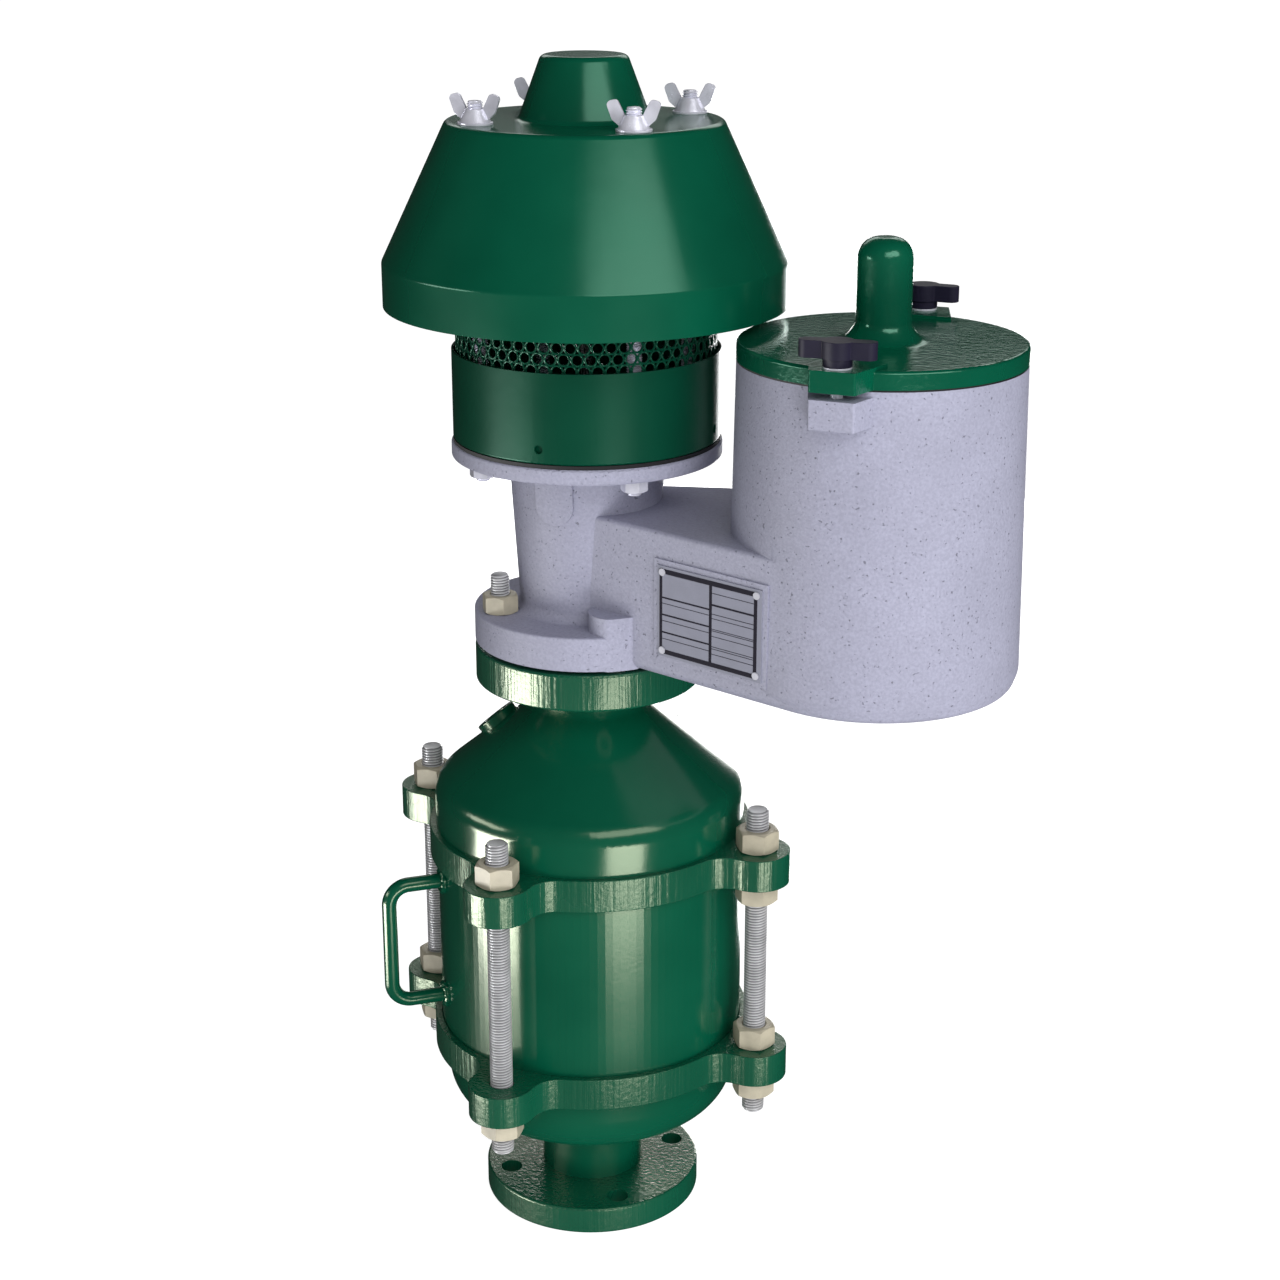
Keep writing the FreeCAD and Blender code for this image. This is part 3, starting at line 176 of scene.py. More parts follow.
class Finish:
    """A surface finish in the making, with the record's material slot it belongs to."""

    def __init__(self, name, slot):
        self.slot = slot
        self.material = bpy.data.materials.new(name)
        self.material.use_nodes = True
        self.tree = self.material.node_tree
        self.tree.nodes.clear()
        self.place = self.node("ShaderNodeTexCoord", output="Object")

    def node(self, kind, settings=None, sockets=None, output=0):
        """Add one node, its settings first and then the values or links of its sockets."""
        made = self.tree.nodes.new(kind)
        for name, value in (settings or {}).items():
            setattr(made, name, value)
        for key, value in (sockets or {}).items():
            if isinstance(value, Value):
                self.tree.links.new(value.socket, made.inputs[key])
            else:
                made.inputs[key].default_value = value
        return Value(self, made.outputs[output]) if len(made.outputs) else None

    def grain(self, size, detail=2.0, stretch=(1.0, 1.0, 1.0)):
        """Noise with lumps of about one size in metres, drawn out along an axis if wished."""
        spot = self.node("ShaderNodeMapping", None, {"Vector": self.place, "Scale": stretch})
        sockets = {"Vector": spot, "Scale": 0.6 / size, "Detail": detail}
        return self.node("ShaderNodeTexNoise", None, sockets)

    def rings(self, size):
        """Fine turned rings about the object's upright axis, as a lathe leaves."""
        settings = {"wave_type": "RINGS", "rings_direction": "Z"}
        sockets = {"Vector": self.place, "Scale": 0.05 / size, "Distortion": 0.3}
        return self.node("ShaderNodeTexWave", settings, sockets, "Fac")

    def blend(self, amount, first, second):
        """A mix of two colours."""
        sockets = {0: amount, 6: first, 7: second}
        return self.node("ShaderNodeMix", {"data_type": "RGBA"}, sockets, 2)

    def spread(self, value, low, high):
        """A value stretched so that low gives nought and high gives one."""
        sockets = {"Value": value, "From Min": low, "From Max": high}
        return self.node("ShaderNodeMapRange", {"clamp": True}, sockets)

    def close(self, colour, roughness, metallic=0.0, height=None, depth=0.0, fixed=None):
        """Finish the surface: what varies is linked, the rest is set on the shader itself."""
        sockets = {"Base Color": colour, "Roughness": roughness, "Metallic": metallic}
        if height is not None:
            bump = {"Strength": 1.0, "Distance": depth, "Height": height}
            sockets["Normal"] = self.node("ShaderNodeBump", None, bump)
        sockets.update(fixed or {})
        shader = self.node("ShaderNodeBsdfPrincipled", None, sockets)
        self.node("ShaderNodeOutputMaterial", None, {"Surface": shader})
        return self


def shade(colour, factor):
    """A colour made lighter or darker."""
    return tuple(min(channel * factor, 1.0) for channel in colour[:3]) + (1.0,)


def enamel(name, colour, roughness, peel, depth, marks=0.0, glint=0.5, tint=WARM_SHEEN):
    """Sprayed enamel: orange peel, a slight cloudiness and, on cut rims, drawn tool marks."""
    made = Finish(name, "green_enamel")
    cloud = made.grain(60 * MM, 3.0)
    height = made.grain(peel, 2.0)
    if marks:
        cuts = made.grain(2.2 * MM, 3.0, (1.0, 1.0, 0.03))
        height = height + marks * cuts
    tone = made.blend(made.spread(cloud, 0.3, 0.7), shade(colour, 0.88), shade(colour, 1.1))
    gloss = roughness + 0.1 * (cloud - 0.5)
    fixed = {"Specular Tint": tint, "IOR": 1.65, "Specular IOR Level": glint}
    return made.close(tone, gloss, height=height, depth=depth, fixed=fixed)


def cast_grey(name, colour):
    """Painted sand casting: sandy grain, small pits darkened as painted shade in their hollows,
    and broad cloudy patches.
    """
    made = Finish(name, "cast_aluminium")
    cloud = made.grain(45 * MM, 3.0)
    sand = made.grain(1.4 * MM, 3.0)
    pits = made.spread(made.grain(1.5 * MM, 1.0), 0.68, 0.77)
    tone = made.blend(made.spread(cloud, 0.3, 0.7), shade(colour, 0.92), shade(colour, 1.06))
    tone = made.blend(made.spread(sand, 0.35, 0.65) * 0.40, tone, shade(colour, 0.66))
    # The pits are sunk in the bump below and darkened here; their dark is painted shade in the
    # hollows.
    tone = made.blend(pits * 0.7, tone, shade(colour, 0.35))
    height = sand - 1.2 * pits
    gloss = 0.62 + 0.15 * (cloud - 0.5)
    dull = {"Specular IOR Level": 0.3}
    return made.close(tone, gloss, height=height, depth=0.34 * MM, fixed=dull)


def plated(name, slot, colour, roughness, metallic, scratch=0.05 * MM, painted_root_shade=0.0):
    """Plated steel with a faint mottling and fine marks, and painted shade in the thread roots
    where it is threaded.
    """
    made = Finish(name, slot)
    cloud = made.grain(9 * MM, 3.0)
    fine = made.grain(1.0 * MM, 2.0)
    tone = made.blend(made.spread(cloud, 0.3, 0.7), shade(colour, 0.82), shade(colour, 1.1))
    if painted_root_shade:
        # Darkening the thread roots is painted shade: it stands for the shade that falls in the
        # valleys between the crests.
        root = made.node("ShaderNodeAttribute", {"attribute_name": "root"}, output="Fac")
        tone = made.blend(root * painted_root_shade, tone, shade(colour, 0.12))
    gloss = roughness + 0.2 * (cloud - 0.5)
    return made.close(tone, gloss, metallic, height=fine, depth=scratch)


def moulded(name, slot, colour, roughness, depth=0.08 * MM, glint=0.5):
    """Moulded plastic or rubber with a fine matt grain."""
    made = Finish(name, slot)
    fine = made.grain(1.2 * MM, 2.0)
    cloud = made.grain(12 * MM, 2.0)
    tone = made.blend(cloud, shade(colour, 0.85), shade(colour, 1.2))
    gloss = roughness + 0.12 * (cloud - 0.5)
    fixed = {"Specular IOR Level": glint}
    return made.close(tone, gloss, height=fine, depth=depth, fixed=fixed)


def machined(name, slot, colour, roughness):
    """Turned metal with fine rings."""
    made = Finish(name, slot)
    cloud = made.grain(15 * MM, 2.0)
    cuts = made.rings(0.8 * MM)
    tone = made.blend(made.spread(cloud, 0.3, 0.7), shade(colour, 0.85), shade(colour, 1.08))
    gloss = roughness + 0.1 * (cuts - 0.5)
    return made.close(tone, gloss, metallic=0.9, height=cuts, depth=0.03 * MM)


FINISHES = {}


def make_finishes(colours):
    """Every finish of the object, from the colours that the panel shows."""
    green, grey, zinc = colours.enamel_green, colours.casting_grey, colours.stud_zinc
    made = {
        "hood": enamel(
            "hood enamel", green, roughness=0.22, peel=9 * MM, depth=0.06 * MM,
            glint=0.45, tint=DEEP_SHEEN,
        ),
        # The drum's green is darkened to 0.65 as painted shade: it stands for the shade that falls
        # under the hood on the drum.
        "drum": enamel(
            "drum enamel", shade(green, 0.65), roughness=0.30, peel=6 * MM, depth=0.08 * MM,
            glint=0.2, tint=DEEP_SHEEN,
        ),
        "shell": enamel("shell enamel", green, roughness=0.18, peel=2.6 * MM, depth=0.035 * MM),
        "rim": enamel(
            "rim enamel", green, roughness=0.26, peel=2.6 * MM, depth=0.22 * MM,
            marks=2.8, glint=0.55,
        ),
        "cover": enamel(
            "cover enamel", green, roughness=0.18, peel=3 * MM, depth=0.30 * MM,
            glint=0.7, tint=DEEP_SHEEN,
        ),
        "casting": cast_grey("grey sand casting", grey),
        "stud": plated(
            "stud zinc", "threaded_zinc", zinc, roughness=0.36, metallic=0.25,
            scratch=0.02 * MM, painted_root_shade=0.9,
        ),
        "bolt": plated(
            "bolt zinc", "threaded_zinc", shade(zinc, 0.72), roughness=0.42, metallic=0.15
        ),
        "nut": plated(
            "nut cadmium", "yellow_cadmium", colours.nut_cadmium, roughness=0.42, metallic=0.1
        ),
        "wing": plated(
            "wing nut zinc", "bright_zinc", colours.wing_zinc, roughness=0.24, metallic=0.4,
            scratch=0.15 * MM,
        ),
        "screw": plated(
            "plate screw zinc", "bright_zinc", shade(colours.wing_zinc, 0.5),
            roughness=0.6, metallic=0.1,
        ),
        "knob": moulded(
            "knob plastic", "black_plastic", colours.knob_black, roughness=0.48, glint=0.22
        ),
        "gasket": moulded("gasket rubber", "black_gasket", GASKET_BLACK, roughness=0.7),
        "plate": moulded(
            "plate metal", "plate_metal", colours.plate_silver, roughness=0.6,
            depth=0.02 * MM, glint=0.15,
        ),
        "ink": moulded(
            "plate ink", "plate_metal", INK_BLACK, roughness=0.7, depth=0.02 * MM, glint=0.1
        ),
        "trim": machined("stainless trim", "stainless_trim", STAINLESS, roughness=0.28),
        "ribbon": machined("wound ribbon", "ribbon_bank", RIBBON_METAL, roughness=0.38),
        "disc": moulded("soft disc", "soft_disc", DISC_WHITE, roughness=0.5),
    }
    FINISHES.update(made)


def finished(form, name, finish, nodes, body=None, sharp=35.0, solidify=0.0):
    """Turn a form into a piece that stands for CAD nodes and rides on their body."""
    mesh = bpy.data.meshes.new(name)
    form.to_mesh(mesh)
    form.free()
    for polygon in mesh.polygons:
        polygon.use_smooth = True
    mesh.set_sharp_from_angle(angle=math.radians(sharp))
    mesh.materials.append(FINISHES[finish].material)
    piece = bpy.data.objects.new(name, mesh)
    bpy.context.scene.collection.objects.link(piece)
    if solidify:
        wall = piece.modifiers.new("wall", "SOLIDIFY")
        wall.thickness = solidify
        wall.offset = -1.0
    even = piece.modifiers.new("even shading", "WEIGHTED_NORMAL")
    even.keep_sharp = True
    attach(piece, body or frame["nodes"][nodes[0]]["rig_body"])
    if nodes:
        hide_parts(*nodes)
    return piece


def softened(node, finish, edge=0.0, steps=2, sharp=35.0):
    """A merged copy of a CAD node with its edges rounded, which then stands for it."""
    form = bmesh.new()
    form.from_mesh(frame["nodes"][node].data)
    bmesh.ops.remove_doubles(form, verts=form.verts, dist=MERGE_DIST)
    if edge:
        flat = math.radians(0.2)
        bmesh.ops.dissolve_limit(form, angle_limit=flat, verts=form.verts, edges=form.edges)
        corner = math.radians(sharp)
        geom = [e for e in form.edges if e.is_manifold and e.calc_face_angle() > corner]
        bmesh.ops.bevel(
            form, geom=geom, offset=edge, offset_type="OFFSET", affect="EDGES",
            segments=steps, profile=0.5, material=-1, clamp_overlap=True,
        )
    return finished(form, node + "_dressed", finish, [node], sharp=sharp)


def outline(form, corners, closed=True):
    """The points of an outline in the XZ plane, joined in order."""
    points = [form.verts.new((x, 0.0, z)) for x, z in corners]
    ends = points[1:] + points[:1] if closed else points[1:]
    lines = [form.edges.new(pair) for pair in zip(points, ends)]
    return points + lines


def spin_round(form, geom, steps):
    """Spin an outline once round the Z axis and join its two ends."""
    bmesh.ops.spin(
        form, geom=geom, cent=(0, 0, 0), axis=(0, 0, 1), angle=FULL_TURN, steps=steps,
        use_merge=True,
    )


def spun(corners, steps):
    """A turned form about the Z axis."""
    form = bmesh.new()
    spin_round(form, outline(form, corners), steps)
    bmesh.ops.recalc_face_normals(form, faces=form.faces)
    return form


def join(whole, form):
    """Add one form to another and free it."""
    mesh = bpy.data.meshes.new("joined")
    form.to_mesh(mesh)
    form.free()
    whole.from_mesh(mesh)
    bpy.data.meshes.remove(mesh)


def repeated(form, places):
    """Copies of a form drawn at the origin, one at each place and turn."""
    mesh = bpy.data.meshes.new("copy")
    form.to_mesh(mesh)
    form.free()
    whole = bmesh.new()
    for x, y, z, turn in places:
        copy = bmesh.new()
        copy.from_mesh(mesh)
        place = Matrix.Translation((x, y, z)) @ Matrix.Rotation(turn, 4, "Z")
        bmesh.ops.transform(copy, matrix=place, verts=copy.verts)
        join(whole, copy)
    bpy.data.meshes.remove(mesh)
    return whole


def round_spots(radius, count, first):
    """The X, Y and angle of evenly spaced spots round the Z axis."""
    spots = []
    for step in range(count):
        angle = first + FULL_TURN * step / count
        spots.append((radius * math.cos(angle), radius * math.sin(angle), angle))
    return spots


def thread(radius, pitch, length, steps):
    """A bar threaded for its whole length, standing on the origin, with chamfered ends."""
    depth, crest_start, crest_end = 0.61 * pitch, 0.44 * pitch, 0.56 * pitch
    form = bmesh.new()
    line = []
    for tooth in range(int(length / pitch) + 5):
        z = (tooth - 2) * pitch
        line += [(radius - depth, z), (radius, z + crest_start), (radius, z + crest_end)]
    geom = outline(form, line, closed=False)
    bmesh.ops.spin(
        form, geom=geom, cent=(0, 0, 0), axis=(0, 0, 1), dvec=(0, 0, pitch / steps),
        angle=FULL_TURN, steps=steps, use_merge=False,
    )
    bmesh.ops.remove_doubles(form, verts=form.verts, dist=10 * MERGE_DIST)
    # The root layer marks the thread's valleys, where the stud finish paints shade.
    root = form.verts.layers.float.new("root")
    for vert in form.verts:
        vert[root] = float(math.hypot(vert.co.x, vert.co.y) < radius - depth / 2.0)
    for height, side in ((0.0, -1.0), (length, 1.0)):
        geom = list(form.verts) + list(form.edges) + list(form.faces)
        cut = bmesh.ops.bisect_plane(
            form, geom=geom, plane_co=(0, 0, height), plane_no=(0, 0, side), clear_outer=True
        )
        rim = [item for item in cut["geom_cut"] if isinstance(item, bmesh.types.BMEdge)]
        bmesh.ops.contextual_create(form, geom=rim)
    chamfer = 1.2 * depth
    for vert in form.verts:
        reach = radius - chamfer + min(vert.co.z, length - vert.co.z)
        flat = math.hypot(vert.co.x, vert.co.y)
        if flat > reach > 0.0:
            vert.co.x *= reach / flat
            vert.co.y *= reach / flat
    bmesh.ops.recalc_face_normals(form, faces=form.faces)
    return form


def nut(flats, height, bore):
    """A hexagon nut standing on the origin, its corners cut back by a cone."""
    inner = flats * 0.475
    lead = bore * 0.12
    tip = flats / math.sqrt(3.0)
    hair = 0.001 * MM
    corners = [
        (bore, lead), (bore + lead, 0.0), (inner, 0.0), (tip, hair),
        (tip, height - hair), (inner, height), (bore + lead, height), (bore, height - lead),
    ]
    form = spun(corners, steps=48)
    sixth = FULL_TURN / 6.0
    slope = math.tan(math.radians(30.0))
    for vert in form.verts:
        if math.hypot(vert.co.x, vert.co.y) < inner * 1.02:
            continue
        angle = math.atan2(vert.co.y, vert.co.x)
        off = (angle + FULL_TURN) % sixth - sixth / 2.0
        reach = flats / 2.0 / math.cos(off)
        drop = (reach - inner) * slope
        rise = height - drop if vert.co.z > height / 2.0 else drop
        vert.co = (reach * math.cos(angle), reach * math.sin(angle), rise)
    return form


def bead(major, minor, seed):
    """A lumpy ring of weld about the Z axis."""
    lump, ripples, grit = 0.4, 11.0, 0.35
    form = bmesh.new()
    made = bmesh.ops.create_circle(form, segments=10, radius=minor)
    turn = Matrix.Translation((major, 0, 0)) @ Matrix.Rotation(math.pi / 2.0, 4, "X")
    bmesh.ops.transform(form, matrix=turn, verts=made["verts"])
    spin_round(form, list(form.verts) + list(form.edges), steps=36)
    for vert in form.verts:
        angle = math.atan2(vert.co.y, vert.co.x)
        core = Vector((major * math.cos(angle), major * math.sin(angle), 0.0))
        lumps = noise.noise(vert.co / MM * grit + Vector((seed, 0, 0)))
        ripple = 0.5 * math.sin(angle * ripples + seed) + lumps
        vert.co = core + (vert.co - core) * (1.0 + lump * ripple)
    bmesh.ops.recalc_face_normals(form, faces=form.faces)
    return form


def rod_places(spots, z):
    """Places for bars at one height, unturned."""
    return [(x, y, z, 0.0) for x, y, _ in spots]


class FinishColours(bpy.types.PropertyGroup):
    """Colours of the finishes."""

    enamel_green: FloatVectorProperty(
        name="Enamel", description="Green of the hood, the cover and the arrestor",
        subtype="COLOR", size=3, min=0.0, max=1.0, default=(0.0005, 0.074, 0.038),
    )
    casting_grey: FloatVectorProperty(
        name="Casting", description="Painted grey of the valve body",
        subtype="COLOR", size=3, min=0.0, max=1.0, default=(0.325, 0.327, 0.425),
    )
    stud_zinc: FloatVectorProperty(
        name="Studs", description="Zinc of the threaded studs",
        subtype="COLOR", size=3, min=0.0, max=1.0, default=(0.68, 0.68, 0.70),
    )
    nut_cadmium: FloatVectorProperty(
        name="Nuts", description="Pale yellow cadmium of the nuts",
        subtype="COLOR", size=3, min=0.0, max=1.0, default=(0.45, 0.41, 0.31),
    )
    wing_zinc: FloatVectorProperty(
        name="Wing nuts", description="Bright zinc of the wing nuts",
        subtype="COLOR", size=3, min=0.0, max=1.0, default=(0.80, 0.80, 0.90),
    )
    knob_black: FloatVectorProperty(
        name="Knobs", description="Dark plastic of the cover's knobs",
        subtype="COLOR", size=3, min=0.0, max=1.0, default=(0.014, 0.012, 0.030),
    )
    plate_silver: FloatVectorProperty(
        name="Plate", description="Silver of the rating plate",
        subtype="COLOR", size=3, min=0.0, max=1.0, default=(0.235, 0.24, 0.30),
    )


class PieceSizes(bpy.types.PropertyGroup):
    """Sizes of the fine detail that the frame leaves out."""

    tie_pitch: FloatProperty(
        name="Tie pitch", description="Thread pitch of the tie studs",
        default=2.54 * MM, unit="LENGTH", precision=5,
    )
    line_pitch: FloatProperty(
        name="Line pitch", description="Thread pitch of the line studs",
        default=2.31 * MM, unit="LENGTH", precision=5,
    )
    hood_pitch: FloatProperty(
        name="Hood pitch", description="Thread pitch of the hood studs",
        default=1.95 * MM, unit="LENGTH", precision=5,
    )
    casting_edge: FloatProperty(
        name="Casting edge", description="Rounding of the casting's edges",
        default=1.2 * MM, unit="LENGTH", precision=5,
    )
    cut_edge: FloatProperty(
        name="Cut edge", description="Rounding of machined and sheared edges",
        default=0.8 * MM, unit="LENGTH", precision=5,
    )
    screen_hole: FloatProperty(
        name="Screen hole", description="Width of the screen's round holes",
        default=8.0 * MM, unit="LENGTH", precision=5,
    )
    screen_columns: IntProperty(
        name="Screen columns", description="Holes in one row round the screen", default=63, min=12,
    )


class StageSettings(bpy.types.PropertyGroup):
    """Lights and floor of the studio."""

    key_power: FloatProperty(
        name="Key light", description="Power of the low soft light on the right",
        default=21.0, unit="POWER",
    )
    side_power: FloatProperty(
        name="Side light", description="Power of the low soft light on the left",
        default=80.0, unit="POWER",
    )
    high_power: FloatProperty(
        name="High light", description="Power of the light above the camera",
        default=31.0, unit="POWER",
    )
    left_power: FloatProperty(
        name="Left light", description="Power of the light level with the hood on the left",
        default=12.0, unit="POWER",
    )
    back_power: FloatProperty(
        name="Back light", description="Power of the high light behind the object",
        default=11.0, unit="POWER",
    )
    rear_power: FloatProperty(
        name="Rear light", description="Power of the tall soft light behind the object",
        default=62.0, unit="POWER",
    )
    floor_tone: FloatProperty(
        name="Floor", description="Paleness of the floor", default=0.40, min=0.0, max=1.0,
    )
    floor_glow: FloatProperty(
        name="Floor glow", description="Even light of the floor, as a lit table gives",
        default=0.90, min=0.0, max=1.0,
    )
    sky_level: FloatProperty(
        name="Sky", description="Strength of the even light from all round", default=1.50, min=0.0,
    )
    sky_mirror: FloatProperty(
        name="Mirrored sky", description="Strength of that light where gloss mirrors it",
        default=0.015, min=0.0,
    )


class BreatherSettings(bpy.types.PropertyGroup):
    """Everything that the panel shows."""

    colours: PointerProperty(type=FinishColours)
    sizes: PointerProperty(type=PieceSizes)
    studio: PointerProperty(type=StageSettings)


CAMERA_SPOT = Vector((804.3 * MM, -1699.8 * MM, 1166.8 * MM))
CAMERA_HEADING = Vector((-0.4067, 0.9135, 0.0))
CAMERA_TILT = math.radians(19.02)
CAMERA_LENS = 66.18
TO_CAMERA = -CAMERA_HEADING
TO_RIGHT = Vector((-TO_CAMERA.y, TO_CAMERA.x, 0.0))
LIGHT_AIM = Vector((80 * MM, 0.0, 550 * MM))
FLOOR_SIZE = 30.0

# Where the sky is brightest, where it ends and how much of its light is left there
SKY_LEAN = 0.32 * TO_RIGHT + 0.82 * TO_CAMERA - Vector((0.0, 0.0, 0.38))
SKY_END = -0.25
SKY_REST = 0.12

# Name, swing in degrees, distance, height, size in metres, and whether only gloss shows it
SOFTBOXES = (
    ("key", 25.0, 2.4, -0.50, (1.15, 0.65), False),
    ("side", -71.0, 2.4, -0.50, (1.6, 0.65), True),
    ("high", 29.0, 2.4, 2.30, (2.6, 1.2), False),
    ("left", -80.0, 2.4, 1.00, (1.4, 0.4), True),
    ("rear", 172.0, 2.4, -0.05, (1.45, 1.6), False),
    ("back", 178.0, 2.6, 2.05, (2.6, 0.9), False),
)


def add_camera():
    """The photograph's viewpoint."""
    lens = bpy.data.cameras.new("camera")
    lens.lens = CAMERA_LENS
    lens.clip_end = 60.0
    look = CAMERA_HEADING * math.cos(CAMERA_TILT) - Vector((0, 0, math.sin(CAMERA_TILT)))
    camera = bpy.data.objects.new("camera", lens)
    camera.location = CAMERA_SPOT
    camera.rotation_euler = look.to_track_quat("-Z", "Y").to_euler()
    bpy.context.scene.collection.objects.link(camera)
    bpy.context.scene.camera = camera


def add_softbox(name, swing, distance, height, size, power, mirrored):
    """A soft rectangular light, swung in degrees to the camera's right.

    A mirrored one shows in gloss and leaves the plain shading alone.
    """
    angle = math.radians(swing)
    spot = LIGHT_AIM + (TO_CAMERA * math.cos(angle) + TO_RIGHT * math.sin(angle)) * distance
    spot.z = height
    data = bpy.data.lights.new(name, "AREA")
    data.shape = "RECTANGLE"
    data.size, data.size_y = size
    data.energy = power
    lamp = bpy.data.objects.new(name, data)
    lamp.location = spot
    lamp.rotation_euler = (LIGHT_AIM - spot).to_track_quat("-Z", "Y").to_euler()
    lamp.visible_camera = False
    lamp.visible_diffuse = not mirrored
    bpy.context.scene.collection.objects.link(lamp)


def add_floor(tone, glow):
    """A pale floor under the inlet flange."""
    form = bmesh.new()
    bmesh.ops.create_grid(form, x_segments=8, y_segments=8, size=FLOOR_SIZE)
    mesh = bpy.data.meshes.new("floor")
    form.to_mesh(mesh)
    form.free()
    floor = bpy.data.objects.new("floor", mesh)
    bpy.context.scene.collection.objects.link(floor)
    paint = Finish("floor paint", "")
    cloud = paint.grain(0.8, 2.0)
    pale = paint.blend(cloud, shade((tone,) * 3, 0.99), shade((tone,) * 3, 1.01))
    lit = {"Emission Color": (1.0, 1.0, 1.0, 1.0), "Emission Strength": glow}
    paint.close(pale, 0.9, fixed={**lit, "Specular IOR Level": 0.0})
    mesh.materials.append(paint.material)
    floor.visible_glossy = False
    floor.visible_diffuse = False
    floor.visible_shadow = False


def add_sky(level, mirror):
    """White light from all round, strongest from the front and low.

    Gloss hardly mirrors it, and the camera sees plain white.
    """
    sky = bpy.data.worlds.new("studio")
    bpy.context.scene.world = sky
    sky.use_nodes = True
    tree = sky.node_tree
    tree.nodes.clear()
    way = tree.nodes.new("ShaderNodeTexCoord")
    lean = tree.nodes.new("ShaderNodeVectorMath")
    lean.operation = "DOT_PRODUCT"
    lean.inputs[1].default_value = SKY_LEAN.normalized()
    rise = tree.nodes.new("ShaderNodeMapRange")
    rise.inputs["From Min"].default_value = SKY_END
    rise.inputs["From Max"].default_value = 1.0
    rise.inputs["To Min"].default_value = SKY_REST * level
    rise.inputs["To Max"].default_value = level
    path = tree.nodes.new("ShaderNodeLightPath")
    pick = tree.nodes.new("ShaderNodeMix")
    pick.inputs["B"].default_value = mirror
    seen = tree.nodes.new("ShaderNodeMix")
    seen.inputs["B"].default_value = 1.0
    light = tree.nodes.new("ShaderNodeBackground")
    out = tree.nodes.new("ShaderNodeOutputWorld")
    for source, target in (
        (way.outputs["Generated"], lean.inputs[0]),
        (lean.outputs["Value"], rise.inputs["Value"]),
        (rise.outputs[0], pick.inputs["A"]),
        (path.outputs["Is Glossy Ray"], pick.inputs["Factor"]),
        (pick.outputs[0], seen.inputs["A"]),
        (path.outputs["Is Camera Ray"], seen.inputs["Factor"]),
        (seen.outputs[0], light.inputs["Strength"]),
        (light.outputs[0], out.inputs["Surface"]),
    ):
        tree.links.new(source, target)
    light.inputs["Color"].default_value = (1.0, 1.0, 1.0, 1.0)


class BREATHER_OT_stage(bpy.types.Operator):
    """Set up the camera, the pale floor and the soft lights"""

    bl_idname = "breather.stage"
    bl_label = "Stage"

    def execute(self, context):
        studio = context.scene.breather.studio
        add_camera()
        add_floor(studio.floor_tone, studio.floor_glow)
        add_sky(studio.sky_level, studio.sky_mirror)
        for name, swing, distance, height, size, mirrored in SOFTBOXES:
            power = getattr(studio, name + "_power")
            add_softbox(name + " light", swing, distance, height, size, power, mirrored)
        context.scene.view_settings.view_transform = "Standard"
        return {"FINISHED"}


class BREATHER_OT_shell(bpy.types.Operator):
    """Dress the arrestor's flanges, domes, rings, housing, port, handle and gaskets"""

    bl_idname = "breather.shell"
    bl_label = "Arrestor shell"

    def execute(self, context):
        cut = context.scene.breather.sizes.cut_edge
        for node in ("inlet_flange", "outlet_flange", "lower_clamp_ring", "upper_clamp_ring"):
            softened(node, "rim", cut)
        for node in ("lower_dome", "upper_dome"):
            softened(node, "shell")
        softened("element_housing", "shell")
        softened("port_coupling", "shell", cut)
        softened("port_plug", "shell", cut)
        softened("carrying_handle", "shell")
        for node in ("lower_gasket", "upper_gasket"):
            softened(node, "gasket")
        return {"FINISHED"}


class BREATHER_OT_welds(bpy.types.Operator):
    """Add the weld beads at the handle's feet"""

    bl_idname = "breather.welds"
    bl_label = "Welds"

    def execute(self, context):
        low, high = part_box("carrying_handle")
        turned = Matrix.Rotation(HANDLE_TURN, 4, "Z")
        across = Matrix.Rotation(math.pi / 2.0, 4, "Y")
        whole = bmesh.new()
        for at, z in enumerate((low.z + HANDLE_ROD_R, high.z - HANDLE_ROD_R)):
            form = bead(HANDLE_ROD_R + BEAD_OUT, BEAD_R, BEAD_SHIFT * at)
            foot = turned @ Matrix.Translation((HOUSING_R + BEAD_PROUD, 0, z)) @ across
            bmesh.ops.transform(form, matrix=foot, verts=form.verts)
            join(whole, form)
        finished(whole, "handle_welds", "shell", [], "valve_frame", 60.0)
        return {"FINISHED"}


class BREATHER_OT_tie_fasteners(bpy.types.Operator):
    """Cut the threads of the tie studs and chamfer their nuts"""

    bl_idname = "breather.tie_fasteners"
    bl_label = "Tie studs and nuts"

    def execute(self, context):
        pitch = context.scene.breather.sizes.tie_pitch
        spots = round_spots(TIE_CIRCLE, 4, ARRESTOR_TURN)
        low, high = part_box("tie_studs")
        bar = thread(TIE_STUD_R, pitch, high.z - low.z, steps=20)
        form = repeated(bar, rod_places(spots, low.z))
        finished(form, "tie_studs_cut", "stud", ["tie_studs"], sharp=50.0)
        tall = TIE_NUT[1]
        for node, low_spots, high_spots in (
            ("tie_nuts", spots, spots), ("jack_nuts", spots[:3], spots[:2])
        ):
            low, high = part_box(node)
            places = [(x, y, low.z, turn + TIE_NUT_TURN) for x, y, turn in low_spots]
            places += [(x, y, high.z - tall, turn + TIE_NUT_TURN) for x, y, turn in high_spots]
            finished(repeated(nut(*TIE_NUT), places), node + "_cut", "nut", [node], sharp=20.0)
        return {"FINISHED"}


class BREATHER_OT_flame_bank(bpy.types.Operator):
    """Give the ribbon bank, its grids and its keeper their metal"""

    bl_idname = "breather.flame_bank"
    bl_label = "Flame bank"

    def execute(self, context):
        softened("flame_element", "ribbon")
        for node in ("bank_core", "lower_grid", "upper_grid", "bank_keeper"):
            softened(node, "trim")
        return {"FINISHED"}


class BREATHER_OT_valve_body(bpy.types.Operator):
    """Dress the casting and the gasket under it"""

    bl_idname = "breather.valve_body"
    bl_label = "Valve body"

    def execute(self, context):
        softened("valve_body", "casting", context.scene.breather.sizes.casting_edge)
        softened("line_gasket", "gasket")
        return {"FINISHED"}


